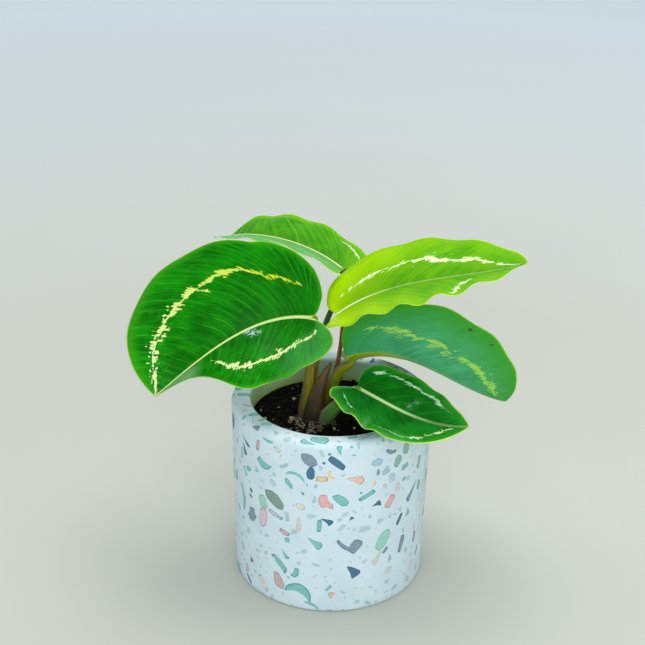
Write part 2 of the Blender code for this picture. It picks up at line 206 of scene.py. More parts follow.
# The larger stones of the side that is seen. bearing is in degrees, from the front round to the
# right. run is in mm, from the foot up the wall and over the rim. Then come the stone's length,
# width and tilt, how much it is bent, in mm, and its cut.
STONES = (
    (-88, 103, 7, 4, 90, 0, "block", "teal"), (-73, 103, 6, 2, 40, 0, "bar", "clay"),
    (-60, 103, 6.5, 4.5, 60, 0, "kite", "teal"), (-61, 98, 3, 2, 110, 0, "block", "teal"),
    (-51, 103, 3.4, 2.6, 50, 0, "kite", "teal"), (-45, 103, 6, 4, 40, 0, "block", "mint"),
    (-7, 101, 11, 5.4, 3, 0.5, "block", "teal"), (-13.5, 98.4, 8, 3, 172, 0, "wedge", "teal"),
    (13, 103, 6, 2.4, 3, 0, "bar", "teal"), (20, 102, 8, 4.4, 5, 0, "kite", "fog"),
    (25, 103, 3, 2, 20, 0, "block", "mint"), (-57, 87, 9.5, 2.2, -35, 0.8, "wedge", "navy"),
    (-58, 81.5, 7.4, 2.8, -62, 0, "wedge", "navy"), (-45, 89, 6.4, 2.2, 80, 0, "bar", "clay"),
    (-37, 94, 6.2, 1.7, -5, 0.4, "bar", "teal"), (-31, 91, 4, 2.4, -35, 0, "block", "sand"),
    (-41, 80, 9.0, 3.8, -22, 0.9, "bar", "teal"), (-54, 72, 4.8, 3.0, 5, 0, "kite", "teal"),
    (-47, 75, 4.0, 2.6, -70, 0, "wedge", "mint"), (-12, 89, 9.4, 6.0, -28, 0, "oval", "slate"),
    (-11, 81.6, 7.6, 5.4, 74, 0, "kite", "navy"), (-4, 88, 1.7, 1.5, 0, 0, "oval", "navy"),
    (-1, 93, 1.5, 1.3, 0, 0, "oval", "navy"), (3, 88, 9.8, 3.9, -40, 0, "block", "navy"),
    (5, 95, 5.0, 3.2, 110, 0, "wedge", "teal"), (11, 96.5, 1.8, 1.3, -15, 0, "block", "teal"),
    (12, 92, 2.6, 1.5, 15, 0, "wedge", "teal"), (-20, 79, 10.4, 2.0, -14, -2.4, "bar", "teal"),
    (-24, 74, 6.4, 3.0, -62, 0, "kite", "teal"), (-5, 79, 6.2, 3.2, 4, 0, "block", "ochre"),
    (0, 81.5, 5.2, 1.8, -62, 1.2, "bar", "ochre"), (13, 78, 9.8, 5.2, -14, 0, "wedge", "salmon"),
    (-3, 66, 9.6, 6.6, -58, 0.6, "twin", "rose"), (6, 67, 9.2, 5.4, -50, 0, "kite", "teal"),
    (21, 68.5, 8.6, 2.6, 26, 0, "bar", "teal"), (27, 62, 5.6, 3.4, 18, 0, "wedge", "navy"),
    (36, 61.5, 7.4, 4.2, 58, 0, "block", "rose"), (54, 61, 13.4, 3.6, 231, 0, "wedge", "slate"),
    (40, 83, 7.0, 5.2, 52, 0, "kite", "sage"), (46, 88, 6.8, 5.0, 80, 0, "kite", "sage"),
    (35, 90, 5.8, 2.2, -20, 0.6, "bar", "slate"), (46, 78, 5.0, 3.4, 15, 0, "block", "teal"),
    (46, 71, 2.8, 2.5, 0, 0, "oval", "teal"), (44, 48.5, 6.8, 2.4, 58, 0, "bar", "navy"),
    (51, 50, 5.0, 3.8, -90, 0, "wedge", "sage"), (-33, 62, 13.4, 7.6, -47, 0, "kite", "olive"),
    (-42, 58, 9.0, 5.6, -72, 0, "block", "mint"), (-51.5, 46.5, 9.4, 7.0, 62, 0, "twin", "slate"),
    (-42, 49, 11.4, 5.4, 86, 0, "oval", "pink"), (-34, 54, 6.4, 2.6, -18, 0, "bar", "mauve"),
    (-17, 62, 5.0, 3.6, -18, 0, "oval", "sand"), (-29, 52.5, 2.6, 2.4, 0, 0, "kite", "teal"),
    (-26, 54.5, 5.8, 2.6, -62, 0, "wedge", "sand"), (-2, 55, 7.0, 3.6, -22, 0, "wedge", "navy"),
    (-6, 52.5, 6.6, 2.3, 86, 0, "bar", "teal"), (12, 56, 3.0, 2.2, 50, 0, "wedge", "navy"),
    (-27, 45, 6.0, 2.6, -18, 0, "bar", "clay"), (-25, 41, 3.0, 2.9, 10, 0, "oval", "teal"),
    (-9, 42, 9.0, 5.2, -30, 0, "wedge", "teal"), (8.5, 40.6, 9.4, 2.4, -38, 0.9, "bar", "slate"),
    (15, 40, 8.2, 5.8, 58, 0, "block", "slate"), (32, 40, 13.6, 7.4, 52, 0, "kite", "mint"),
    (34.5, 33.5, 3.8, 2.3, 48, 0, "block", "slate"), (29, 31, 10, 4.2, 242, 0, "wedge", "shell"),
    (47, 33, 10.6, 3.2, 76, 0, "bar", "slate"), (66, 20, 6, 2, 70, 0, "bar", "slate"),
    (61, 31, 7, 2.2, 78, 0, "bar", "slate"), (13, 25, 8.6, 6.4, -40, 0, "wedge", "navy"),
    (-27, 32.5, 6.6, 2.4, -52, 0.4, "wedge", "teal"), (-30, 25.5, 11.2, 3.6, -47, -0.8, "bar", "teal"),
    (-20, 22.8, 6.0, 3.0, 62, 0.9, "bar", "teal"), (-54, 19, 4, 3.0, -60, 0, "wedge", "navy"),
    (-59, 11, 5.4, 4, 87, 0, "oval", "mauve"), (-31, 15, 11, 5.8, -62, 0, "oval", "clay"),
    (-43, 9.5, 10, 3.6, -54, 0, "block", "sand"), (-18, 12, 14.6, 5.4, -16, -4.4, "bar", "teal"),
    (-10, 5, 8.4, 1.8, -26, -1.0, "bar", "teal"), (0, 16, 4.2, 1.8, 50, 0, "bar", "teal"),
    (2, 11.6, 4.2, 4.0, 90, 0, "wedge", "rose"), (-64, 22, 5.4, 1.8, -62, 0, "bar", "teal"),
    (-57, 5.5, 5.6, 1.8, -45, 0, "bar", "navy"), (-62, 40, 2.4, 2, 0, 0, "oval", "teal"),
    (-60, 50, 8, 2.6, 82, 0, "bar", "teal"), (-62, 57, 7, 2.4, -66, 0, "bar", "teal"),
    (-18, 51, 9.2, 3.2, 88, 0, "oval", "shell"), (-16, 70, 2.2, 1.5, -40, 0, "wedge", "navy"),
    (62, 61, 6.6, 3.2, 86, 0, "oval", "sage"), (60, 75, 7, 2.8, 74, 0, "bar", "sage"),
    (27, 80, 3.4, 1.7, 85, 0, "bar", "slate"), (60, 36, 5.4, 1.8, 86, 0, "bar", "pink"),
    (59, 15, 6, 2, 68, 0, "bar", "pink"), (-61, 78, 6.5, 2.2, 84, 0, "bar", "mint"),
    (-58, 69, 5.6, 2.2, -62, 0, "bar", "mint"), (25, 74.5, 2.4, 1.9, 80, 0, "block", "ochre"),
    (17, 70.5, 1.5, 1.2, 0, 0, "oval", "slate"), (-52, 60.5, 2.6, 1.9, -50, 0, "block", "navy"),
    (-52.5, 57, 2.8, 1.6, -35, 0, "block", "navy"), (-27, 83, 5.4, 2.0, 30, 0.5, "bar", "mist"),
    (26, 86, 6.8, 5.0, -20, 0, "kite", "mist"), (32, 80, 6.0, 4.6, 40, 0, "twin", "mist"),
    (-9, 67, 4.6, 1.9, 72, 0, "bar", "mist"), (20, 49.5, 6.8, 3.4, 6, 0, "block", "fog"),
    (-21, 46, 4.8, 3.6, 50, 0, "wedge", "mist"), (-25, 55, 5, 2.2, 88, 0, "bar", "haze"),
)
SEEN_FROM, SEEN_TO = -70, 70
MORE_STONES, LONGEST_STONE = 150, 13
FAINT_STONES, LONGEST_FAINT_STONE = 620, 7
FAINT = ("mist", "fog", "haze", "haze", "haze", "shell")
SHORTEST_STONE = 1.4
SLENDER, STOUT = 0.35, 0.85
STONE_GAP = 0.3
MOST_TRIES = 40000
ROUGHNESS_OF_CUT = 0.16
CORNER_WEAR = (0.14, 0.25)
SAME_PLACE = 1e-3
BORDER = 0.34
WIDE_ENOUGH_FOR_BORDER = 2.0
BORDER_SHADE = (0.42, 0.64, 0.72)


def arc(centre_radius, centre_height, radius, start, end, steps):
    """Points of a rounded corner as (radius, height), with angles in degrees."""
    angles = [math.radians(start + (end - start) * step / steps) for step in range(steps + 1)]
    return [(centre_radius + radius * math.cos(a), centre_height + radius * math.sin(a)) for a in angles]


def with_rows(profile, spacing):
    """The same profile, with points added so that none are further apart than the spacing."""
    rows = [profile[0]]
    for start, end in zip(profile, profile[1:]):
        count = max(1, math.ceil(math.dist(start, end) / spacing))
        rows += [tuple(np.array(start) + (np.array(end) - start) * i / count) for i in range(1, count + 1)]
    return rows


def stone_outline(length, width, tilt, bend, cut, dice):
    """The outline of a crushed stone about its middle, with its corners worn."""
    points = []
    for along, across in CUTS[cut]:
        off = Vector((dice.uniform(-1, 1), dice.uniform(-1, 1))) * ROUGHNESS_OF_CUT
        points.append(Vector(((along + off.x) * length / 2, (across + off.y) * width / 2)))
    for share in CORNER_WEAR:
        ring = zip(points, points[1:] + points[:1])
        points = [place for a, b in ring for place in (a.lerp(b, share), b.lerp(a, share))]
    for point in points:
        point.y += bend * ((2 * point.x / length) ** 2 - 0.5)
    turn = Matrix.Rotation(math.radians(tilt), 2)
    return [turn @ point for point in reversed(points)]


inner = POT_TOP_RADIUS - POT_WALL
profile = arc(POT_BASE_RADIUS - FOOT_ROUND, FOOT_ROUND, FOOT_ROUND, -90, 0, 5)
profile += arc(POT_TOP_RADIUS - RIM_OUTER_ROUND, POT_HEIGHT - RIM_OUTER_ROUND, RIM_OUTER_ROUND, 0, 90, 9)
profile += arc(inner + RIM_INNER_ROUND, POT_HEIGHT - RIM_INNER_ROUND, RIM_INNER_ROUND, 90, 180, 7)
profile = with_rows(profile + [(inner, STONES_END)], ROW_SPACING)
runs = np.concatenate(([0], np.cumsum([math.dist(a, b) for a, b in zip(profile, profile[1:])])))
girth = 2 * math.pi * POT_TOP_RADIUS
# Only what stands out of the mould is ground: inside, a skin of cement covers the stones.
ground_to = runs[-1] - (POT_HEIGHT - STONES_END) - 1

dice = random.Random(7)
stones = [(girth * (bearing / 360 + 0.5), *rest) for bearing, *rest in STONES]
common = ["teal"] * 8 + ["sage", "mint", "slate", "navy"] * 3
common += ["pink", "sand", "rose", "clay", "salmon", "ochre"]


def drop_stones(count, longest, colours, hidden_only):
    """Scatters stones clear of one another, by drawing places until enough of them fit."""
    tries = 0
    while count and tries < MOST_TRIES:
        tries += 1
        length = dice.uniform(SHORTEST_STONE, longest) * dice.uniform(0.5, 1)
        width = length * dice.uniform(SLENDER, STOUT)
        across = dice.uniform(length, girth - length)
        run = dice.uniform(2, ground_to)
        bearing = 360 * (across / girth - 0.5)
        if hidden_only and SEEN_FROM < bearing < SEEN_TO and run < POT_HEIGHT:
            continue
        near = [s for s in stones if math.hypot(s[0] - across, s[1] - run) < (s[2] + length) / 2 + STONE_GAP]
        if not near:
            cut = dice.choice(list(CUTS))
            stones.append((across, run, length, width, dice.uniform(0, 360), 0, cut, dice.choice(colours)))
            count -= 1


drop_stones(MORE_STONES, LONGEST_STONE, common, True)
drop_stones(FAINT_STONES, LONGEST_FAINT_STONE, FAINT, False)

flat_points = [Vector((girth * column / POT_COLUMNS, run))
               for run in runs for column in range(POT_COLUMNS + 1)]
flat_faces = []
face_colours = []
for across, run, length, width, tilt, bend, cut, colour in stones:
    outline = stone_outline(length, width, tilt, bend, cut, dice)
    middle = Vector((across, run))
    bordered = width > WIDE_ENOUGH_FOR_BORDER and colour not in FAINT
    for size, border in ((1, bordered), (1 - 2 * BORDER / width, False)) if bordered else ((1, False),):
        flat_faces.append(list(range(len(flat_points), len(flat_points) + len(outline))))
        flat_points += [middle + point * size for point in outline]
        face_colours.append((colour, border))
points, _, triangles, _, _, origins = delaunay_2d_cdt(flat_points, [], flat_faces, 0, 1e-4)

pot_points = []
for across, run in points:
    radius, height = (np.interp(run, runs, [p[i] for p in profile]) for i in (0, 1))
    bearing = 2 * math.pi * (across / girth - 0.5)
    pot_points.append((radius * math.sin(bearing), -radius * math.cos(bearing), height))
# The unrolled wall's two ends are the same line on the planter, so their points are joined.
seam = {round(run, 2): i for i, (across, run) in enumerate(points) if across < SAME_PLACE}
same = {i: seam[round(run, 2)] for i, (across, run) in enumerate(points) if across > girth - SAME_PLACE}
pot_faces = [tuple(same.get(corner, corner) for corner in triangle) for triangle in triangles]
stone_of = [face_colours[max(ids)] if ids else None for ids in origins]


def closed_with(ring, rings):
    """Carries a ring of points on through more rings, given as (radius, height), to a flat end."""
    for radius, height in rings:
        fresh = list(range(len(pot_points), len(pot_points) + len(ring)))
        for index in ring:
            x, y, _ = pot_points[index]
            pot_points.append((x * radius / math.hypot(x, y), y * radius / math.hypot(x, y), height))
        for i, index in enumerate(ring):
            j = (i + 1) % len(ring)
            pot_faces.append((index, ring[j], fresh[j], fresh[i]))
        ring = fresh
    pot_faces.append(tuple(ring))


def ring_at(run):
    """The points of the wall's row at a run, in order round the planter."""
    found = [(across, i) for i, (across, at) in enumerate(points)
             if abs(at - run) < SAME_PLACE and i not in same]
    return [i for _, i in sorted(found)]


closed_with(ring_at(runs[-1]), [(inner, POT_FLOOR + INNER_CORNER), (inner - INNER_CORNER, POT_FLOOR)])
pot_faces.append(tuple(reversed(ring_at(0))))
pot_mesh = mesh_in_mm("planter", pot_points, pot_faces)
pot_mesh.set_sharp_from_angle(angle=math.radians(SHARP_EDGE))
face_tints = np.zeros((len(pot_faces), 4))
face_kinds = np.zeros(len(pot_faces), int)
for index, found in enumerate(stone_of):
    if found:
        colour, border = found
        shade = BORDER_SHADE if border else (1, 1, 1)
        face_tints[index] = np.array(linear(STONE_COLOURS[colour])) * (*shade, 1)
        face_kinds[index] = 1
pot_mesh.polygons.foreach_set("material_index", face_kinds)
pot_mesh.attributes.new("stone", "FLOAT_COLOR", "FACE").data.foreach_set("color", face_tints.ravel())

cement, tree, shader = new_material("white_cement_cast_and_ground")
# Ground cement: chalky, with no gloss, clouded where it dried unevenly, and pricked by tiny pores.
place = add_node(tree, "TexCoord", {}).outputs["Object"]
clouds = add_node(tree, "TexNoise", {"Vector": place, "Scale": 1 / (CEMENT_CLOUD * MM), "Detail": 4.0})
patches = add_node(tree, "MapRange", {"Value": clouds, "From Min": 0.42, "From Max": 0.68})
tint = add_node(tree, "MixRGB", {"Fac": patches, "Color1": linear(CEMENT), "Color2": linear(CEMENT_DAMP)})
# Inside, above the mix, the wall is painted green, most strongly near the mix: painted reflection of the
# leaves' light.
parts = add_node(tree, "SeparateXYZ", {"Vector": place})
level = add_node(tree, "CombineXYZ", {"X": parts.outputs["X"], "Y": parts.outputs["Y"]})
from_axis = add_node(tree, "VectorMath", {0: level}, operation="LENGTH").outputs["Value"]
inside = add_node(tree, "Math", {0: from_axis, 1: (inner + REFLECTION_MARGIN) * MM}, operation="LESS_THAN")
reflection_fade = add_node(tree, "MapRange", {"Value": parts.outputs["Z"], "From Min": REFLECTION_BOTTOM * MM,
                                  "From Max": REFLECTION_TOP * MM, "To Min": 0.9, "To Max": 0.3})
painted_reflection = add_node(tree, "Math", {0: inside, 1: reflection_fade}, operation="MULTIPLY")
tint = add_node(tree, "MixRGB", {"Fac": painted_reflection, "Color1": tint, "Color2": linear(LEAF_GREEN_REFLECTION)})
pores = add_node(tree, "TexVoronoi", {"Vector": place, "Scale": 1 / (PORE_SPACING * MM)}).outputs["Distance"]
pits = add_node(tree, "MapRange", {"Value": pores, "From Min": 0.05, "From Max": 0.14})
sand = add_node(tree, "TexNoise", {"Vector": place, "Scale": 1 / (SAND_GRAIN * MM), "Detail": 2.0})
height = add_node(tree, "Math", {0: pits, 1: sand}, operation="ADD")
relief = add_node(tree, "Bump", {"Height": height, "Strength": 0.25, "Distance": 0.08 * MM})
set_inputs(shader, {"Base Color": tint, "Normal": relief, "Roughness": 0.62, "Specular IOR Level": 0.35})

stone, tree, shader = new_material("marble_and_glass_chips_ground_flush")
# Cut stone: a little smoother than the cement, mottled inside, and darker at its broken border.
place = add_node(tree, "TexCoord", {}).outputs["Object"]
colour = add_node(tree, "Attribute", {}, attribute_name="stone")
mottle = add_node(tree, "TexNoise", {"Vector": place, "Scale": 1 / (STONE_MOTTLE * MM), "Detail": 3.0})
depth = add_node(tree, "MapRange",
                 {"Value": mottle, "From Min": 0.3, "From Max": 0.7, "To Min": 0.84, "To Max": 1.1})
mixed = add_node(tree, "VectorMath", {0: colour, "Scale": depth}, operation="SCALE")
set_inputs(shader, {"Base Color": mixed, "Roughness": 0.5, "Specular IOR Level": 0.4})

pot = show("planter", pot_mesh, cement, stone)
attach(pot, "root")
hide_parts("pot")

# The blades. Each leaf's blade is a thin waxy sheet, waved at its margin, on a midrib that stands
# out as a keel below. It grew in this shape. It follows its solid, with finer bumps and pleats.
LAMINA = 0.38
MARGIN_THICKNESS = 0.16
KEEL_BASE, KEEL_TIP = 1.7, 0.25
KEEL_SLOPE = 1.25
LOBE_SHARE = 0.35
VEIN_SWEEP = 1.25
VEIN_START = 3.0
TAPER_FROM = 0.6
MIDRIB_STEPS = 200
FLAT_CURL = 0.01
BLADE_ROWS = 190
HALF_COLUMNS = 34
COLUMN_CROWDING = 1.55
RUN_TOGETHER = 1e-5
LEAST_MARGIN = 0.3
PLEAT_DEPTH = 0.11
PLEAT_ROUNDNESS = 0.7
PLEAT_LEVEL = 0.7
END_FADE = 12
CALM_FADE = 8
NO_BAND = -3.0
# Lengths are in mm and angles in degrees. "Along" runs from 0 at the base to 1 at the tip, "out"
# from 0 at the midrib to 1 at the margin, and left is as seen from the stalk.
# heading and rise: the midrib's direction at its base, middle and tip. roll and the folds: at the
# base and the tip. half_width, lobe and curl: of the left half and the right.
# widest, fullness, taper: where the outline is widest, how blunt its ends are, how drawn in its tip.
# waves: height, length and phase. calm_after: where the right half's wave dies away.
# bumps: side (1 left, -1 right), along, spread along, how far out they push and how far up.
# pleats: how many side veins. rib: the midrib's half width at the base and the tip.
# A band is brushed along each half, through knots of along, out and half width.
# marks: pale spots, painted glints, as mm along the midrib, mm to the left, radius and strength.
# specks: brown spots, as mm along, mm to the left and radius.
LEAVES = {
    "left": dict(
        base=(-11, -4, 141), heading=(168, 201, 230), rise=(1, -27, -15), roll=(-61, 0),
        length=88, half_width=(44, 53), lobe=(18, 9), widest=0.53, fullness=1.28, taper=0.24,
        bumps=((-1, 0.33, 0.12, 1.7, 0), (-1, 0.33, 0.012, -1.1, 0.3), (-1, 0.085, 0.025, 1.6, 0.8)),
        fold_left=(11, 40), fold_right=(22, 15), curl=(0, -28),
        wave_left=(3.5, 40, 144), wave_right=(1.0, 24, 40), pleats=40, rib=(1.1, 0.3),
        band_left=((0.16, 0.41, 0.2), (0.22, 0.41, 0.6), (0.26, 0.415, 0.8), (0.32, 0.42, 1.2),
                   (0.41, 0.44, 1.5), (0.48, 0.47, 2.2), (0.53, 0.52, 1.3), (0.566, 0.564, 1.7),
                   (0.62, 0.593, 2.0), (0.68, 0.512, 1.6), (0.74, 0.235, 0.4)),
        band_right=((0.28, 0.44, 0.5), (0.33, 0.395, 0.7), (0.384, 0.403, 1.6), (0.42, 0.42, 0.9),
                    (0.462, 0.442, 1.9), (0.485, 0.52, 1.9), (0.51, 0.57, 1.0), (0.534, 0.594, 2.1),
                    (0.575, 0.594, 1.2), (0.61, 0.61, 2.5), (0.66, 0.645, 1.6), (0.72, 0.652, 1.9),
                    (0.791, 0.648, 1.5), (0.83, 0.60, 1.5), (0.877, 0.51, 1.0), (0.941, 0.312, 0.7),
                    (0.975, 0.2, 0.3)),
        marks=((30, 3.2, 5.5, 0.9), (33, 1.6, 4.0, 0.9), (27, 4.5, 3.5, 0.9))),
    "back": dict(
        base=(5, 38.5, 148), heading=(140, 150, 137), rise=(22, 2, -22), roll=(6, -5),
        length=73, half_width=(28, 26.5), lobe=(8, 8), widest=0.48, fullness=0.66, taper=0.1,
        bumps=((-1, 0.88, 0.11, 5.2, 0.8), (1, 0.88, 0.1, 1.5, 0)),
        fold_left=(21, 15), fold_right=(10, 13), curl=(0, -12),
        wave_left=(0.8, 20, 0), wave_right=(0.8, 22, 0), pleats=24, rib=(1.0, 0.35),
        band_left=((0.27, 0.49, 0.4), (0.54, 0.62, 0.9), (0.82, 0.55, 0.4)),
        band_right=((0.20, 0.67, 0.3), (0.257, 0.69, 0.9), (0.317, 0.78, 0.8), (0.36, 0.81, 0.1),
                    (0.42, 0.8, -0.8), (0.87, 0.56, -0.8))),
    "upper": dict(
        base=(2, 5, 139), heading=(-2, -8, -15), rise=(41, 15, 24), roll=(10, -1),
        length=97, half_width=(33, 32), lobe=(8, 10), widest=0.48, fullness=1.08, taper=0.27,
        bumps=((1, 0.12, 0.08, -2.0, 0), (-1, 0.13, 0.08, -2.2, 1.5)),
        fold_left=(14, 9), fold_right=(14, 10), curl=(0, -4),
        wave_left=(0.8, 24, 90), wave_right=(1.7, 19, 90), pleats=30, rib=(1.0, 0.32),
        band_left=((0.28, 0.35, 0.1), (0.31, 0.35, 0.9), (0.325, 0.35, -0.5), (0.345, 0.35, -0.5),
                   (0.36, 0.353, 1.0), (0.385, 0.355, 1.2), (0.395, 0.356, -0.1), (0.41, 0.36, 1.3),
                   (0.44, 0.37, 1.5), (0.47, 0.41, 1.56), (0.50, 0.45, 0.7), (0.54, 0.50, 1.33),
                   (0.566, 0.546, 0.55), (0.60, 0.57, 1.72), (0.64, 0.55, 1.48), (0.68, 0.53, 1.17),
                   (0.732, 0.566, 1.48), (0.77, 0.54, 0.7), (0.82, 0.44, 0.7), (0.865, 0.303, 0.47),
                   (0.959, 0.125, 0.23)),
        band_right=((0.61, 0.93, 0.1), (0.642, 0.879, 1.0), (0.67, 0.78, 0.7), (0.696, 0.686, 1.2),
                    (0.733, 0.556, 1.0), (0.763, 0.48, 0.2)),
        specks=((94.5, -0.5, 1.8),)),
    "right": dict(
        base=(6, -2, 119), heading=(24, 15, 16), rise=(9, -31, -20), roll=(-43, -31),
        length=97, half_width=(36, 39), lobe=(0, 5), widest=0.47, fullness=0.87, taper=0.15,
        fold_left=(19, 22), fold_right=(31, 21), curl=(0, 0),
        wave_left=(0.8, 24, 0), wave_right=(0.8, 26, 0), pleats=32, rib=(1.4, 0.5),
        band_left=((0.33, 0.42, 0.4), (0.45, 0.49, 1.4), (0.60, 0.52, 1.4), (0.74, 0.53, 1.3),
                   (0.88, 0.35, 0.4)),
        band_right=((0.28, 0.476, 0.6), (0.33, 0.468, 1.0), (0.37, 0.46, 1.5), (0.40, 0.45, 0.5),
                    (0.43, 0.445, 2.2), (0.477, 0.436, 1.4), (0.52, 0.40, 2.0), (0.561, 0.381, 1.8),
                    (0.575, 0.43, 0.5), (0.595, 0.475, 2.6), (0.65, 0.429, 1.6), (0.70, 0.51, 2.1),
                    (0.755, 0.498, 2.1), (0.79, 0.46, 1.0), (0.82, 0.43, 1.9), (0.892, 0.201, 0.9)),
        specks=((46.8, -34.6, 1.3), (60.4, -32.6, 1.0))),
    "front": dict(
        base=(12, -17, 110), heading=(-40, -33, -16), rise=(-5, -6, 15), roll=(13, 4),
        length=61.5, half_width=(24, 23), lobe=(7, 10), widest=0.46, fullness=1.0, taper=0.72,
        bumps=((-1, 0.1, 0.07, 0.5, 1.6),),
        fold_left=(13, -3), fold_right=(20, 5), curl=(-10, -15),
        wave_left=(0.6, 18, 30), wave_right=(1.6, 13, 60), calm_after=0.42, pleats=22, rib=(1.05, 1.0),
        band_left=((0.215, 0.65, 0.2), (0.245, 0.67, 0.7), (0.268, 0.677, 1.3), (0.30, 0.71, 0.9),
                   (0.35, 0.735, 0.5), (0.40, 0.74, 0.8), (0.456, 0.735, 0.9), (0.527, 0.738, 0.7),
                   (0.591, 0.797, 0.9), (0.67, 0.777, 0.7), (0.72, 0.79, 0.3), (0.754, 0.80, 0.4)),
        band_right=((0.226, 0.549, 0.1), (0.26, 0.62, 0.35), (0.308, 0.70, 0.25), (0.36, 0.75, 0.1),
                    (0.42, 0.79, -0.6), (0.46, 0.82, -0.2), (0.50, 0.83, 0.25), (0.55, 0.81, 0.3),
                    (0.593, 0.873, 0.2), (0.64, 0.86, 0.4), (0.694, 0.835, 0.6), (0.74, 0.75, 0.3),
                    (0.782, 0.652, 0.6), (0.863, 0.371, 0.2)),
        marks=((29.6, 9.5, 5.5, 0.3), (28, 5, 5, 0.25))),
}


def through_three(values, share):
    """The value at a share of the way along a smooth run through its base, middle and tip values."""
    start, middle, end = values
    rest = 1 - share
    return start * rest * (1 - 2 * share) + middle * 4 * share * rest + end * share * (2 * share - 1)


def between(values, share):
    """The value at a share of the way from the first to the second."""
    return values[0] + (values[1] - values[0]) * share


def midrib_frames(leaf):
    """Along the midrib: point, forward, left and up, from base to tip."""
    point = Vector(leaf["base"])
    frames = []
    for index in range(MIDRIB_STEPS + 1):
        share = index / MIDRIB_STEPS
        heading = math.radians(through_three(leaf["heading"], share))
        rise = math.radians(through_three(leaf["rise"], share))
        roll = math.radians(between(leaf["roll"], share))
        level = math.cos(rise)
        forward = Vector((math.cos(heading) * level, math.sin(heading) * level, math.sin(rise)))
        side = Vector((-math.sin(heading), math.cos(heading), 0))
        top = forward.cross(side)
        left = side * math.cos(roll) + top * math.sin(roll)
        up = top * math.cos(roll) - side * math.sin(roll)
        frames.append((point.copy(), forward, left, up))
        point += forward * leaf["length"] / MIDRIB_STEPS
    return frames


def frame_at(frames, share):
    """The midrib's point and directions at a share of its length, between two of its frames."""
    place = min(max(share, 0), 1) * MIDRIB_STEPS
    index = min(int(place), MIDRIB_STEPS - 1)
    return [a.lerp(b, place - index) for a, b in zip(frames[index], frames[index + 1])]


def on_blade(leaf, frames, vein, out):
    """A point of the upper face, then how far it is along, from the midrib and from the margin."""
    half = 0 if out >= 0 else 1
    length = leaf["length"]
    width = leaf["half_width"][half]
    reach = (1 - math.cos(math.pi * vein)) / 2
    lobe = leaf["lobe"][half] * math.sin(math.pi * min(vein / LOBE_SHARE, 1))
    skew = vein ** (math.log(0.5) / math.log(leaf["widest"]))
    taper = 1 - leaf["taper"] * max((vein - TAPER_FROM) / (1 - TAPER_FROM), 0) ** 2
    margin = width * max(math.sin(math.pi * skew), 0) ** leaf["fullness"] * taper
    bells = [(math.exp(-((vein - centre) / spread) ** 2), outward, lift)
             for side_sign, centre, spread, outward, lift in leaf.get("bumps", ()) if side_sign * out > 0]
    bulge = sum(bell * outward for bell, outward, _ in bells)
    bulge *= min(1, END_FADE * (1 - vein), END_FADE * vein)
    margin = max(margin + bulge, margin * LEAST_MARGIN)
    start = length * reach ** VEIN_START
    along = start + (length * reach - lobe - start) * abs(out) ** VEIN_SWEEP
    across = margin * abs(out)
    inside = min(max(along / length, 0), 1)
    point, forward, left, up = frame_at(frames, along / length)
    point = point + forward * min(along, 0)
    side = left if out >= 0 else -left
    fold = math.radians(between(leaf["fold_left"] if half == 0 else leaf["fold_right"], inside))
    bend = math.radians(leaf["curl"][half] or FLAT_CURL) / width
    outward = (math.sin(fold + bend * across) - math.sin(fold)) / bend
    upward = (math.cos(fold) - math.cos(fold + bend * across)) / bend
    height, wavelength, phase = leaf["wave_left"] if half == 0 else leaf["wave_right"]
    wave = height * math.sin(2 * math.pi * along / wavelength + math.radians(phase))
    wave *= math.sin(math.pi * vein)
    if half == 1:
        wave *= min(max((leaf.get("calm_after", 1.1) - vein) * CALM_FADE + 1, 0), 1)
    wave = out ** 2 * (wave + sum(bell * lift for bell, _, lift in bells))
    return point + side * outward + up * (upward + wave), along, across, margin - across


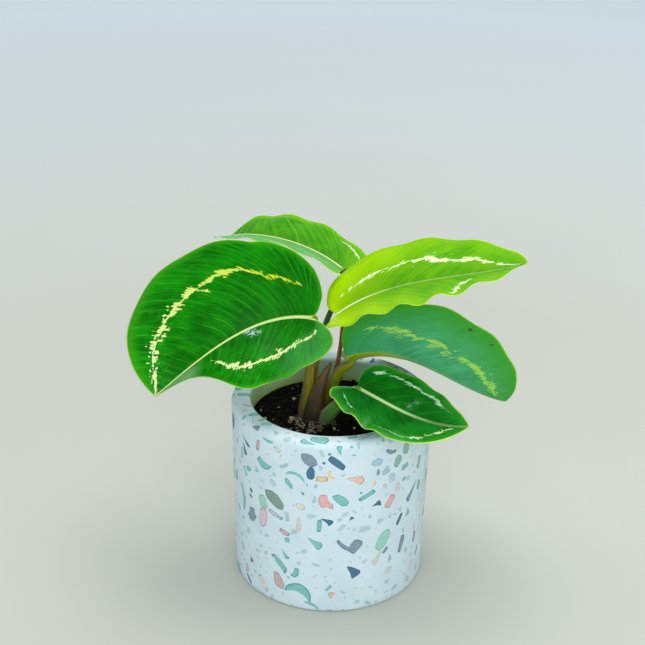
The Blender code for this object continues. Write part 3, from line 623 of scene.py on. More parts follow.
def blade_mesh(name, leaf):
    """Upper face, underside and margin in one closed mesh, with the leaf's own measures on it."""
    frames = midrib_frames(leaf)
    shares = [(column / HALF_COLUMNS) ** COLUMN_CROWDING for column in range(1, HALF_COLUMNS + 1)]
    outs = [-share for share in reversed(shares)] + [0.0] + shares
    veins = [row / BLADE_ROWS for row in range(BLADE_ROWS + 1)]
    upper = np.zeros((len(veins), len(outs), 3))
    measures = {key: np.zeros(upper.shape[:2]) for key in ("vein", "out", "rib", "edge", "band", "brush")}
    flat = np.zeros(upper.shape)
    for row, vein in enumerate(veins):
        rib = between(leaf["rib"], vein)
        for column, out in enumerate(outs):
            point, along, across, edge = on_blade(leaf, frames, vein, out)
            knots = leaf["band_left"] if out >= 0 else leaf["band_right"]
            places = [knot[0] for knot in knots]
            middle = np.interp(vein, places, [knot[1] for knot in knots])
            brush = np.interp(vein, places, [knot[2] for knot in knots], left=NO_BAND, right=NO_BAND)
            upper[row, column] = point
            flat[row, column] = (along, math.copysign(across, out), 0)
            values = (vein, out, across / rib, edge, (abs(out) - middle) * (across + edge), brush)
            for key, value in zip(measures, values):
                measures[key][row, column] = value
    normals = np.cross(np.gradient(upper, axis=0), np.gradient(upper, axis=1))
    sizes = np.linalg.norm(normals, axis=2, keepdims=True)
    # Where the rows run together, at the base and the tip, the midrib's own upward direction serves.
    upward = np.array([frames[round(vein * MIDRIB_STEPS)][3] for vein in veins])[:, None]
    normals = np.where(sizes > RUN_TOGETHER, normals / np.maximum(sizes, RUN_TOGETHER), upward)
    normals[[0, -1]] = upward[[0, -1]]
    vein, out = measures["vein"], np.abs(measures["out"])
    # The pleats between the side veins flatten out towards the midrib, the margin and both ends.
    puff = np.abs(np.sin(math.pi * leaf["pleats"] * vein)) ** PLEAT_ROUNDNESS - PLEAT_LEVEL
    puff = PLEAT_DEPTH * puff * np.sin(math.pi * vein) * np.minimum(out * 6, 1) * (1 - out ** 8)
    upper += normals * puff[..., None]
    lamina = LAMINA + (MARGIN_THICKNESS - LAMINA) * out ** 6
    keel = (KEEL_BASE + (KEEL_TIP - KEEL_BASE) * vein) * np.exp(-(measures["rib"] / KEEL_SLOPE) ** 2)
    lower = upper - normals * (lamina + keel * np.minimum((1 - vein) * END_FADE, 1))[..., None]
    points = np.concatenate((upper.reshape(-1, 3), lower.reshape(-1, 3)))
    rows, columns = upper.shape[:2]
    faces = []
    kinds = []

    def corner(row, column, below):
        if row in (0, rows - 1):
            column = 0
        return below * rows * columns + row * columns + column

    def add_face(kind, *corners):
        distinct = list(dict.fromkeys(corners))
        if len(distinct) > 2:
            faces.append(distinct)
            kinds.append(kind)

    for row in range(rows - 1):
        for column in range(columns - 1):
            for below in (0, 1):
                ring = [corner(row, column, below), corner(row + 1, column, below),
                        corner(row + 1, column + 1, below), corner(row, column + 1, below)]
                add_face(below, *(reversed(ring) if below else ring))
        for column, turn in ((0, 1), (columns - 1, -1)):
            ring = [corner(row, column, 0), corner(row, column, 1),
                    corner(row + 1, column, 1), corner(row + 1, column, 0)]
            add_face(0, *ring[::turn])
    used = sorted({index for face in faces for index in face})
    renumber = {old: new for new, old in enumerate(used)}
    mesh = mesh_in_mm(name, points[used], [[renumber[index] for index in face] for face in faces])
    mesh.polygons.foreach_set("material_index", kinds)
    for key, values in measures.items():
        twice = np.concatenate((values.ravel(), values.ravel()))[used]
        mesh.attributes.new(key, "FLOAT", "POINT").data.foreach_set("value", twice)
    twice = np.concatenate((flat.reshape(-1, 3), flat.reshape(-1, 3)))[used]
    mesh.attributes.new("flat", "FLOAT_VECTOR", "POINT").data.foreach_set("vector", twice.ravel())
    return mesh


# The two faces of a blade. The upper one is a waxed green, streaked along its side veins, with a
# pale midrib, a brushed band and a painted highlight along its margin. The underside is paler, duller
# and finer veined. Colours by leaf: the young upper one is lime and the oldest, in front, is darkest.
# Sizes in mm. A band is made of strokes in clumps. Streaks, flecks, clouds and the skin's grain lie
# all over a blade. The real grain is too fine to show, so it is drawn some ten times coarser.
STROKE, STROKE_LENGTH = 0.55, 5.0
CLUMP = 3.0
STREAK, STREAK_LENGTH = 1.1, 16.0
FLECK = 3.4
BLADE_CLOUD = 14
SKIN_GRAIN = 0.6
RIM_WIDTH = 5.0
# The width in mm of the painted highlight along the margin.
EDGE_HIGHLIGHT = 0.5
SPECK = "#5A3A22"
PAINTED_GLINT = "#CFE6EA"
# Painted glints: spots to a millimetre, across the side veins and along them.
GLINT_SPOTS = (2.4, 0.9, 1)
# Shares: how far the side veins stray, how strong and how dark the painted shade near the midrib
# is, how strong the rim's tint is, and over how much of the blade the midrib and the painted sheen fade.
STRAY = 0.02
INNER_SHADE = 0.35
INNER_DARKNESS = 0.6
RIM_SHARE = 0.8
RIB_FADE = 0.14
SHEEN_BLEND = 0.15
# The roughness of the undersides, and the specular level of a face that has none of its own.
UNDER_WAX = 0.5
LEAF_SHINE = 0.12
# deep, mid: the two greens that cloud together. rim: towards the margin, over rim_width mm, and in
# flecks. edge: a painted highlight on the outermost half millimetre. vein, lines, stripe: the side
# veins' colour, the strength of their thin lines, and of the wide stripe that each lies in. rib_ends:
# where along the midrib's colour fades. band, band_far, band_tip: the band of the left half, of the
# right half, and of the right half towards the tip. base: a tint at the base, which ends at base_ends.
# A name that starts with under is for the underside, and one that ends in share is how strong
# that tint is. wax: the roughness. shine: the specular level. glow: how much light passes into
# the leaf. turned: painted sheen, paler and greyer places where light glances off, as side
# (1 left, -1 right), where along they start and where they are full, from how far out, strength and colour.
FACES = {
    "left": dict(
        deep="#016600", mid="#068800", rim="#3A9E08", edge="#9CC93E",
        vein="#6AC83A", lines=0.17, stripe=0.03, rib="#D8E290",
        band="#DCEC9E", band_far="#CEDC2E", band_tip="#DEE8A4",
        under="#4E9A5E", under_deep="#3A8048", under_rib="#8C9A3C", under_band="#7DB45A",
        wax=0.26, shine=0.06, glow=0.3,
        turned=((1.0, 0.76, 0.8, 0.0, 0.75, "#6FA66C"), (1.0, 0.44, 0.3, 0.25, 0.2, "#6CB670"))),
    "back": dict(
        deep="#2E8800", mid="#489C00", rim="#78BC0A", edge="#D6E68C",
        vein="#80C414", lines=0.3, stripe=0.1, rib="#E6E2A6",
        band="#B4D48A", band_far="#DDE8B0", band_tip="#C4DC98", base="#8ECC1C", base_share=0.8,
        under="#74B07E", under_deep="#5C9A66", under_rib="#C9C37E", under_band="#A9CB7A",
        wax=0.38, shine=0.06, glow=0.5,
        turned=((1.0, 0.1, 0.3, 0.0, 0.6, "#6CB46C"),)),
    "upper": dict(
        deep="#4C9E00", mid="#6AB000", rim="#7CB800", edge="#C2E04C",
        vein="#A0D620", lines=0.16, stripe=0.05, rib="#EEF2C0", rib_ends=0.62,
        band="#E6EEB8", band_far="#E6EEB8", band_tip="#E2EEA8", base="#CCEC00", base_share=1.0,
        base_ends=0.62,
        under="#A6D92A", under_deep="#8CC61E", under_rib="#D8E46A", under_band="#D8EE8E",
        wax=0.36, shine=0.05, glow=0.5),
    "right": dict(
        deep="#0E7420", mid="#1F9A2C", rim="#3E9A22", rim_width=22.0, rim_share=1.0, edge="#93C43A",
        vein="#4BAE35", lines=0.3, stripe=0.1, rib="#D9DD86", rib_ends=0.66,
        band="#EAF0B4", band_far="#DCE32A", band_tip="#DCE32A", base="#268C18", base_share=1.0,
        base_ends=0.62,
        under="#5ABE88", under_deep="#48A670", under_rib="#96A41E", under_band="#A2D460",
        wax=0.32, glow=0.5),
    "front": dict(
        deep="#005C0A", mid="#048014", rim="#2FA01A", edge="#BCE05A",
        vein="#2EA040", lines=0.16, stripe=0.03, rib="#D0EAA6", rib_ends=0.78,
        band="#C4E6C4", band_far="#C4E6C4", band_tip="#D6ECAC",
        under="#57A06A", under_deep="#418A54", under_rib="#A9B870", under_band="#9CCB8A",
        wax=0.24, shine=0.35, glow=0.2,
        turned=((-1.0, 0.16, 0.05, 0.1, 0.6, "#5FA86C"),)),
}


def blade_material(name, leaf, look, under):
    """One face of a blade. Its mesh carries where each point lies: vein and out as shares, rib in
    half widths of the midrib, and edge, band and brush in mm."""
    material, tree, shader = new_material(name)
    place = {key: add_node(tree, "Attribute", {}, attribute_name=key).outputs["Fac"]
             for key in ("vein", "out", "rib", "edge", "band", "brush")}
    flat = add_node(tree, "Attribute", {}, attribute_name="flat").outputs["Vector"]
    names = ("under_deep", "under", "under_rib", "under_band") if under else ("deep", "mid", "rib", "band")
    deep, mid, rib, band = (linear(look[key]) for key in names)
    rim_tint = linear(look["rim"])
    # Marks that follow the side veins are drawn across them and along them, both near enough in mm.
    by_vein = add_node(tree, "CombineXYZ", {"X": place["vein"], "Y": place["out"]})
    by_vein = add_node(tree, "VectorMath", {0: by_vein, 1: (leaf["length"], leaf["half_width"][0], 1)},
                       operation="MULTIPLY")
    drawn_out = add_node(tree, "VectorMath", {0: by_vein, 1: (1 / STREAK, 1 / STREAK_LENGTH, 1)},
                         operation="MULTIPLY")
    streaks = add_node(tree, "TexNoise", {"Vector": drawn_out, "Scale": 1.0, "Detail": 3.0})
    clouds = add_node(tree, "TexNoise", {"Vector": flat, "Scale": 1 / BLADE_CLOUD, "Detail": 2.0})
    both = add_node(tree, "Math", {0: streaks, 1: clouds}, operation="ADD")
    tone = add_node(tree, "MapRange", {"Value": both, "From Min": 0.82, "From Max": 1.18})
    colour = add_node(tree, "MixRGB", {"Fac": tone, "Color1": deep, "Color2": mid})
    # What lies over the two greens: how much of it there is, and its colour, in the order of painting.
    # Painted shade: the blade darkens towards the midrib, where it turns away from the light.
    inner = add_node(tree, "Math", {0: place["out"]}, operation="ABSOLUTE")
    inner = add_node(tree, "MapRange", {"Value": inner, "From Min": 0.05, "From Max": 0.6,
                                        "To Min": INNER_SHADE, "To Max": 0.0})
    near_base = add_node(tree, "MapRange",
                         {"Value": place["vein"], "From Min": 0.0, "From Max": look.get("base_ends", 0.42),
                          "To Min": look.get("base_share", 0.0), "To Max": 0.0})
    # Small olive flecks, a few millimetres across, where the blade is a little thinner.
    flecks = add_node(tree, "TexNoise", {"Vector": by_vein, "Scale": 1 / FLECK, "Detail": 2.0})
    flecks = add_node(tree, "MapRange",
                      {"Value": flecks, "From Min": 0.6, "From Max": 0.72, "To Min": 0.0, "To Max": 0.3})
    layers = [(inner, [channel * INNER_DARKNESS for channel in deep[:3]] + [1.0]),
              (near_base, linear(look.get("base", look["rim"]))),
              (flecks, rim_tint)]
    # The side veins: along the crease of every pleat a thin light line, in a wider, fainter stripe.
    strayed = add_node(tree, "Math", {0: clouds, 1: STRAY, 2: place["vein"]}, operation="MULTIPLY_ADD")
    pleat = add_node(tree, "Math", {0: strayed, 1: float(leaf["pleats"])}, operation="MULTIPLY")
    crease = add_node(tree, "Math", {0: pleat, 1: 0.5}, operation="PINGPONG")
    line = add_node(tree, "MapRange",
                    {"Value": crease, "From Min": 0.015, "From Max": 0.075, "To Min": 0.75, "To Max": 0.0})
    faint = add_node(tree, "Math", {0: pleat, 1: 3.0}, operation="MULTIPLY")
    faint = add_node(tree, "Math", {0: faint, 1: 0.5}, operation="PINGPONG")
    faint = add_node(tree, "MapRange",
                     {"Value": faint, "From Min": 0.0, "From Max": 0.16, "To Min": 0.3, "To Max": 0.0})
    line = add_node(tree, "Math", {0: line, 1: faint}, operation="MAXIMUM")
    uneven = add_node(tree, "MapRange", {"Value": streaks, "From Min": 0.35, "From Max": 0.65,
                                         "To Min": 0.0, "To Max": 2.4 * look["lines"]})
    line = add_node(tree, "Math", {0: line, 1: uneven}, operation="MULTIPLY")
    stripe = add_node(tree, "MapRange", {"Value": crease, "From Min": 0.0, "From Max": 0.4,
                                         "To Min": look["stripe"], "To Max": 0.0})
    lit = add_node(tree, "Math", {0: line, 1: stripe}, operation="MAXIMUM")
    layers.append((lit, linear(look["under_deep" if under else "vein"])))
    rim = add_node(tree, "MapRange",
                   {"Value": place["edge"], "From Min": 0.0, "From Max": look.get("rim_width", RIM_WIDTH),
                    "To Min": look.get("rim_share", RIM_SHARE), "To Max": 0.0})
    layers.append((rim, rim_tint))
    # Painted sheen: where a margin curls or a half lies flat to the light, it is painted paler and greyer.
    for side, start, end, inner_out, share, turned_colour in look.get("turned", ()):
        sided = add_node(tree, "Math", {0: place["out"], 1: side}, operation="MULTIPLY")
        sided = add_node(tree, "MapRange",
                         {"Value": sided, "From Min": inner_out, "From Max": inner_out + SHEEN_BLEND})
        within = add_node(tree, "MapRange", {"Value": place["vein"], "From Min": start, "From Max": end,
                                             "To Min": 0.0, "To Max": share})
        amount = add_node(tree, "Math", {0: sided, 1: within}, operation="MULTIPLY")
        layers.append((amount, linear(turned_colour)))
    # The band: short strokes that start and stop unevenly on either side of its line, in clumps.
    dashes = add_node(tree, "VectorMath", {0: by_vein, 1: (1 / STROKE, 1 / STROKE_LENGTH, 1)},
                      operation="MULTIPLY")
    dashes = add_node(tree, "TexNoise", {"Vector": dashes, "Scale": 1.0, "Detail": 2.0})
    ends = add_node(tree, "SeparateColor", {"Color": dashes.outputs["Color"]})
    clumps = add_node(tree, "TexNoise", {"Vector": by_vein, "Scale": 1 / CLUMP, "Detail": 2.0})
    fuller = add_node(tree, "MapRange",
                      {"Value": clumps, "From Min": 0.35, "From Max": 0.65, "To Min": 0.0, "To Max": 1.65})
    brush = add_node(tree, "Math", {0: place["brush"], 1: fuller}, operation="MULTIPLY")
    reaches = []
    for side, channel in ((-1.0, "Red"), (1.0, "Green")):
        reach = add_node(tree, "MapRange", {"Value": ends.outputs[channel], "From Min": 0.3,
                                            "From Max": 0.7, "To Min": -0.1, "To Max": 1.9})
        reach = add_node(tree, "Math", {0: reach, 1: brush}, operation="MULTIPLY")
        reach = add_node(tree, "Math", {0: place["band"], 1: side, 2: reach}, operation="MULTIPLY_ADD")
        reaches.append(reach)
    within = add_node(tree, "Math", {0: reaches[0], 1: reaches[1]}, operation="MINIMUM")
    brushed = add_node(tree, "MapRange", {"Value": within, "From Min": -0.15, "From Max": 0.25})
    if not under:
        ahead = add_node(tree, "MapRange", {"Value": place["vein"], "From Min": 0.45, "From Max": 0.8})
        far = add_node(tree, "MixRGB", {"Fac": ahead, "Color1": linear(look["band_far"]),
                                        "Color2": linear(look["band_tip"])})
        near = add_node(tree, "MapRange", {"Value": place["out"], "From Min": -0.2, "From Max": 0.2})
        band = add_node(tree, "MixRGB", {"Fac": near, "Color1": far, "Color2": band})
    layers.append((brushed, band))
    # The midrib is nearly without green as far as rib_ends; the margin's last half mm is a painted
    # highlight.
    on_rib = add_node(tree, "MapRange", {"Value": place["rib"], "From Min": 0.75, "From Max": 1.25,
                                         "To Min": 1.0, "To Max": 0.0})
    rib_ends = look.get("rib_ends", 1.1)
    fading = add_node(tree, "MapRange", {"Value": place["vein"], "From Min": rib_ends - RIB_FADE,
                                         "From Max": rib_ends, "To Min": 1.0, "To Max": 0.25})
    on_rib = add_node(tree, "Math", {0: on_rib, 1: fading}, operation="MULTIPLY")
    edge_highlight = add_node(tree, "MapRange", {"Value": place["edge"], "From Min": EDGE_HIGHLIGHT / 2,
                                          "From Max": EDGE_HIGHLIGHT, "To Min": 1.0, "To Max": 0.0})
    layers += [(on_rib, rib), (edge_highlight, linear(look["edge"]))]
    # Painted glints: pale highlight spots that crowd towards the middle of each mark.
    for along, across, radius, share in () if under else leaf.get("marks", ()):
        away = add_node(tree, "VectorMath", {0: flat, 1: (along, across, 0)}, operation="DISTANCE")
        nearer = add_node(tree, "MapRange", {"Value": away.outputs["Value"], "From Min": 0.0,
                                             "From Max": radius, "To Min": 0.62, "To Max": 0.2})
        spots = add_node(tree, "VectorMath", {0: by_vein, 1: GLINT_SPOTS}, operation="MULTIPLY")
        spots = add_node(tree, "TexNoise", {"Vector": spots, "Scale": 1.0, "Detail": 2.0})
        spots = add_node(tree, "Math", {0: spots, 1: nearer}, operation="ADD")
        spots = add_node(tree, "MapRange", {"Value": spots, "From Min": 0.98, "From Max": 1.14,
                                            "To Min": 0.0, "To Max": share})
        layers.append((spots, linear(PAINTED_GLINT)))
    for along, across, radius in leaf.get("specks", ()):
        away = add_node(tree, "VectorMath", {0: flat, 1: (along, across, 0)}, operation="DISTANCE")
        spot = add_node(tree, "MapRange", {"Value": away.outputs["Value"], "From Min": radius * 0.6,
                                           "From Max": radius, "To Min": 0.85, "To Max": 0.0})
        layers.append((spot, linear(SPECK)))
    for amount, tint in layers:
        colour = add_node(tree, "MixRGB", {"Fac": amount, "Color1": colour, "Color2": tint})
    grain = add_node(tree, "TexNoise", {"Vector": flat, "Scale": 1 / SKIN_GRAIN, "Detail": 2.0})
    lift = add_node(tree, "Math", {0: streaks, 1: grain}, operation="ADD")
    relief = add_node(tree, "Bump", {"Height": lift, "Strength": 0.3, "Distance": 0.12 * MM})
    wax = UNDER_WAX if under else look["wax"]
    gloss = add_node(tree, "MapRange", {"Value": clouds, "From Min": 0.3, "From Max": 0.7,
                                        "To Min": wax, "To Max": wax + 0.14})
    set_inputs(shader, {"Base Color": colour, "Normal": relief, "Roughness": gloss,
                        "Specular IOR Level": LEAF_SHINE if under else look.get("shine", LEAF_SHINE),
                        "Subsurface Weight": look["glow"], "Subsurface Radius": (0.6, 1.0, 0.2),
                        "Subsurface Scale": 1.0 * MM})
    return material


for name, leaf in LEAVES.items():
    upper_face = blade_material("waxed_leaf_upper_" + name, leaf, FACES[name], under=False)
    under_face = blade_material("matte_leaf_underside_" + name, leaf, FACES[name], under=True)
    blade = show("leaf_" + name, blade_mesh("leaf_" + name, leaf), upper_face, under_face)
    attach(blade, "root")
    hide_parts("blade_" + name)

# The leaf stalks. Fleshy and faintly ribbed, each leaves the rhizome purplish, turns olive, and
# swells into its joint under the blade, where it runs on as the keel. Low down it is a sheath,
# wrapped round on itself, so one papery edge climbs its side.
STALK_SPACING = 0.8
STALK_SIDES = 28
RIBS = 9
RIB_HEIGHT = 0.035
EDGE_HEIGHT = 0.2
EDGE_WIDTH = 0.16
EDGE_FADE = 12
FIBRE_STRETCH = 14
# Past the joint the stalk runs on in the keel: along the midrib, below it, and the radius, in mm.
KEEL_RUN = ((5, 1.9, 1.4), (13, 1.25, 1.05), (23, 0.95, 0.75), (35, 0.7, 0.4))
CLEAR_OF_JOINT = 2
# route, radii, meets and wrap. A stalk goes through the places of its route, with those radii, to
# meets: along the midrib, below it, and the radius. All are in mm. wrap is where its papery edge
# starts and ends, in turns from its right side round to its front, and how far up it climbs.
STALKS = {
    "left": dict(
        route=((-13.6, -1.6, 75), (-13.8, -2.6, 88), (-11.6, -2.8, 105), (-10.8, -0.6, 123),
               (-10.0, -0.6, 132)),
        radii=(3.0, 3.1, 2.7, 1.9, 1.6), meets=(-1.0, 3.15, 1.8), wrap=(0.02, 0.13, 0.62)),
    "back": dict(
        route=((-10.6, 4.4, 75), (-9.9, 5.6, 92), (-8.4, 12.5, 109), (-3.4, 24.5, 125),
               (3.2, 34.0, 138)),
        radii=(2.3, 2.3, 1.9, 1.5, 1.3), meets=(-1.0, 1.85, 1.6), wrap=(0.3, 0.1, 0.5)),
    "upper": dict(
        route=((-5.4, 4.6, 75), (-3.4, 5.0, 90), (1.8, 4.8, 108), (3.8, 5.0, 122), (4.6, 5.0, 131)),
        radii=(2.1, 1.8, 1.2, 1.05, 1.1), meets=(3.0, 3.5, 1.5), wrap=(0.4, 0.2, 0.5)),
    "right": dict(
        route=((-6.3, -0.4, 75), (-4.6, -0.8, 90), (0.2, -1.6, 103), (3.8, -2.8, 112)),
        radii=(2.8, 3.0, 2.9, 2.4), meets=(1.0, 4.2, 1.9), wrap=(0.42, 0.36, 0.66)),
    "front": dict(
        route=((-6.4, -5.0, 75), (-3.6, -7.2, 86), (1.4, -10.2, 95), (6.5, -13.5, 102.5)),
        radii=(3.6, 3.9, 3.3, 2.2), meets=(-1.2, 1.6, 1.8), wrap=(0.5, 0.45, 0.7)),
}
STALK_LOOKS = {
    "left": dict(foot="#524C38", middle="#827A00", top="#8A8E00", edge="#7A5A38"),
    "back": dict(foot="#BC9650", middle="#3A5A28", top="#4C8A36", edge="#5E4018"),
    "upper": dict(foot="#5E3A26", middle="#86562E", top="#A88A34", edge="#7A4A26"),
    "right": dict(foot="#4E4020", middle="#586800", top="#8C9C00", edge="#7E6A34"),
    "front": dict(foot="#56604A", middle="#4C8C28", top="#5CA21E", edge="#8A7E6A"),
}


def smooth_run(places, radii, spacing):
    """Rows of x, y, z and radius along a smooth curve that passes through the places."""
    values = np.array([(*place, radius) for place, radius in zip(places, radii)])
    knots = np.vstack((2 * values[0] - values[1], values, 2 * values[-1] - values[-2]))
    rows = []
    for a, b, c, d in zip(knots, knots[1:], knots[2:], knots[3:]):
        steps = max(2, round(np.linalg.norm((c - b)[:3]) / spacing))
        for step in range(steps):
            t = step / steps
            squared = (a - 2.5 * b + 2 * c - d / 2) * t ** 2
            cubed = (1.5 * (b - c) + (d - a) / 2) * t ** 3
            rows.append(b + (c - a) * t / 2 + squared + cubed)
    return np.vstack((rows, values[-1]))


def swept(name, rows, outline):
    """A closed tube along rows. outline gives its reach to the side and to the front, and how much
    of the papery edge is there, from the share of the way along and the angle."""
    points, faces, edges, grains, shares = [], [], [], [], []
    side = Vector((1, 0, 0))
    along = 0
    for index, row in enumerate(rows):
        ahead = Vector((rows[min(index + 1, len(rows) - 1)] - rows[max(index - 1, 0)])[:3]).normalized()
        side = (side - ahead * side.dot(ahead)).normalized()
        front = side.cross(ahead)
        share = index / (len(rows) - 1)
        if index:
            along += float(np.linalg.norm((row - rows[index - 1])[:3]))
        for k in range(STALK_SIDES):
            angle = 2 * math.pi * k / STALK_SIDES
            reach, forth, edge = outline(share, angle)
            points.append(Vector(row[:3]) + side * reach * row[3] + front * forth * row[3])
            edges.append(edge)
            grains.append((reach * row[3], forth * row[3], along / FIBRE_STRETCH))
            shares.append(share)
        if index:
            start = (index - 1) * STALK_SIDES
            for k in range(STALK_SIDES):
                j = (k + 1) % STALK_SIDES
                faces.append((start + k, start + STALK_SIDES + k, start + STALK_SIDES + j, start + j))
    faces.append(tuple(range(STALK_SIDES)))
    faces.append(tuple(reversed(range(len(points) - STALK_SIDES, len(points)))))
    mesh = mesh_in_mm(name, points, faces)
    mesh.attributes.new("edge", "FLOAT", "POINT").data.foreach_set("value", edges)
    mesh.attributes.new("share", "FLOAT", "POINT").data.foreach_set("value", shares)
    grains = np.array(grains).ravel()
    mesh.attributes.new("grain", "FLOAT_VECTOR", "POINT").data.foreach_set("vector", grains)
    return mesh


def stalk_material(name, look):
    """Fleshy stalk: colours blend up its length, fine streaks run along it, and it has a waxy sheen."""
    material, tree, shader = new_material(name)
    share = add_node(tree, "Attribute", {}, attribute_name="share").outputs["Fac"]
    edge = add_node(tree, "Attribute", {}, attribute_name="edge").outputs["Fac"]
    grain = add_node(tree, "Attribute", {}, attribute_name="grain").outputs["Vector"]
    # Streaks are about 0.6 mm wide and 8 mm long, and blotches 2 mm wide and 28 mm long.
    streaks = add_node(tree, "TexNoise", {"Vector": grain, "Scale": 1.7, "Detail": 3.0})
    blotches = add_node(tree, "TexNoise", {"Vector": grain, "Scale": 0.5, "Detail": 2.0})
    uneven = add_node(tree, "MapRange", {"Value": blotches, "From Min": 0.3, "From Max": 0.7,
                                         "To Min": -0.12, "To Max": 0.12})
    height = add_node(tree, "Math", {0: share, 1: uneven}, operation="ADD")
    low = add_node(tree, "MapRange", {"Value": height, "From Min": 0.12, "From Max": 0.42})
    high = add_node(tree, "MapRange", {"Value": height, "From Min": 0.4, "From Max": 0.75})
    colour = linear(look["foot"])
    for amount, part in ((low, "middle"), (high, "top"), (edge, "edge")):
        colour = add_node(tree, "MixRGB", {"Fac": amount, "Color1": colour, "Color2": linear(look[part])})
    shade = add_node(tree, "MapRange", {"Value": streaks, "From Min": 0.3, "From Max": 0.7,
                                        "To Min": 0.78, "To Max": 1.2})
    colour = add_node(tree, "VectorMath", {0: colour, "Scale": shade}, operation="SCALE")
    relief = add_node(tree, "Bump", {"Height": streaks, "Strength": 0.35, "Distance": 0.15 * MM})
    set_inputs(shader, {"Base Color": colour, "Normal": relief, "Roughness": 0.42, "Specular IOR Level": 0.2,
                        "Subsurface Weight": 0.15, "Subsurface Radius": (1.0, 0.8, 0.3),
                        "Subsurface Scale": 1.0 * MM})
    return material


for name, stalk in STALKS.items():
    leaf = LEAVES[name]
    frames = midrib_frames(leaf)
    places = list(stalk["route"])
    radii = list(stalk["radii"])
    joint = stalk["meets"]
    for along, below, radius in (joint, *(run for run in KEEL_RUN if run[0] > joint[0] + CLEAR_OF_JOINT)):
        point, forward, _, up = frame_at(frames, along / leaf["length"])
        places.append(point + forward * min(along, 0) - up * below)
        radii.append(radius)
    wrap_foot, wrap_head, climbs = stalk["wrap"]

    def round_and_wrapped(share, angle):
        """A ribbed round, with the papery edge of the sheath standing on it as far up as it climbs."""
        ribbed = 1 + RIB_HEIGHT * math.cos(RIBS * angle) * (1 - share)
        edge_angle = 2 * math.pi * between((wrap_foot, wrap_head), share / climbs)
        off = (angle - edge_angle + math.pi) % (2 * math.pi) - math.pi
        edge = math.exp(-(off / EDGE_WIDTH) ** 2) if off < 0 else math.exp(-(off / (3 * EDGE_WIDTH)) ** 2)
        edge *= min(max((climbs - share) * EDGE_FADE, 0), 1)
        reach = ribbed + EDGE_HEIGHT * edge
        return reach * math.cos(angle), reach * math.sin(angle), edge if abs(off) < EDGE_WIDTH else 0

    mesh = swept("stalk_" + name, smooth_run(places, radii, STALK_SPACING), round_and_wrapped)
    skin = stalk_material("waxed_stalk_" + name, STALK_LOOKS[name])
    thing = show("stalk_of_" + name + "_leaf", mesh, skin)
    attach(thing, "root")
    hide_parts("stalk_" + name)

# The new shoot. In front of the stalks stands the rolled sheath of the next leaf, purplish grey
# and flattened, closed along a raised edge, and dried to a brown papery point.
SHOOT_ROUTE = ((-9.8, -5.4, 75), (-9.4, -6.9, 86), (-7.6, -7.2, 98), (-4.6, -6.4, 109), (-0.8, -5.0, 117.5))
SHOOT_WIDTHS = (4.6, 5.2, 4.1, 2.5, 0.5)
SHOOT_FLATNESS = 0.55
SHOOT_RIBS = 11
SHOOT_RIB_HEIGHT = 0.02
# The raised edge, in turns from the right side round to the front, at the foot and at the point.
SHOOT_SEAM = (0.09, 0.2)
SHOOT_SEAM_HEIGHT = 0.16
SHOOT_LOOK = dict(foot="#2A2220", middle="#332F22", top="#5E4626", edge="#43291A")


def flat_and_closed(share, angle):
    """A flattened round with fine ribs, closed along its raised edge."""
    edge_angle = 2 * math.pi * between(SHOOT_SEAM, share)
    off = (angle - edge_angle + math.pi) % (2 * math.pi) - math.pi
    edge = math.exp(-(off / (2 * EDGE_WIDTH)) ** 2) if off > 0 else math.exp(-(off / EDGE_WIDTH) ** 2)
    reach = 1 + SHOOT_SEAM_HEIGHT * edge + SHOOT_RIB_HEIGHT * math.cos(SHOOT_RIBS * angle)
    forth = reach * SHOOT_FLATNESS
    return reach * math.cos(angle), forth * math.sin(angle), edge if abs(off) < EDGE_WIDTH else 0


shoot_mesh = swept("new_shoot", smooth_run(SHOOT_ROUTE, SHOOT_WIDTHS, STALK_SPACING), flat_and_closed)
shoot = show("new_shoot", shoot_mesh, stalk_material("dry_purplish_sheath", SHOOT_LOOK))
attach(shoot, "root")
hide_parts("sheath")

# The rhizome. The stalks rise from a knobbly underground stem that fills the hole in the mix. Its
# crown shows as a brown heap among the crumbs, wrapped in the dry fibres of old leaf bases.
CROWN_CENTRE = Vector((-6.4, -5.0, 0))
CROWN_BOTTOM = 62
CROWN_TOP = 88.5
CROWN_RADIUS = 13
CROWN_SIDES = 96
CROWN_RINGS = 44
KNOB_SIZE = 3.2
KNOB_HEIGHT = 1.6
CROWN_DARK = "#2E2019"
CROWN_LIGHT = "#7A6452"
CROWN_FIBRE = 1.2


def crown_mesh():
    """Rings of points from the underside of the crown to its top, pushed out into knobs."""
    points = []
    faces = []
    for ring in range(CROWN_RINGS + 1):
        angle = math.pi * (ring + 0.5) / (CROWN_RINGS + 1) - math.pi / 2
        for side in range(CROWN_SIDES):
            turn = 2 * math.pi * side / CROWN_SIDES
            level = math.cos(angle)
            way = Vector((math.cos(turn) * level, math.sin(turn) * level, math.sin(angle)))
            place = CROWN_CENTRE + Vector((way.x * CROWN_RADIUS, way.y * CROWN_RADIUS, 0))
            place.z = (CROWN_TOP + CROWN_BOTTOM) / 2 + way.z * (CROWN_TOP - CROWN_BOTTOM) / 2
            knobs = noise.noise(place / KNOB_SIZE) + 0.5 * noise.noise(place * 2 / KNOB_SIZE)
            place += way * KNOB_HEIGHT * knobs
            points.append(place)
    for ring in range(CROWN_RINGS):
        for side in range(CROWN_SIDES):
            a, b = ring * CROWN_SIDES + side, ring * CROWN_SIDES + (side + 1) % CROWN_SIDES
            faces.append((a, b, b + CROWN_SIDES, a + CROWN_SIDES))
    faces.append(tuple(reversed(range(CROWN_SIDES))))
    faces.append(tuple(range(CROWN_RINGS * CROWN_SIDES, (CROWN_RINGS + 1) * CROWN_SIDES)))
    return mesh_in_mm("rhizome_crown", points, faces)


fibre, tree, shader = new_material("fibrous_rhizome_skin")
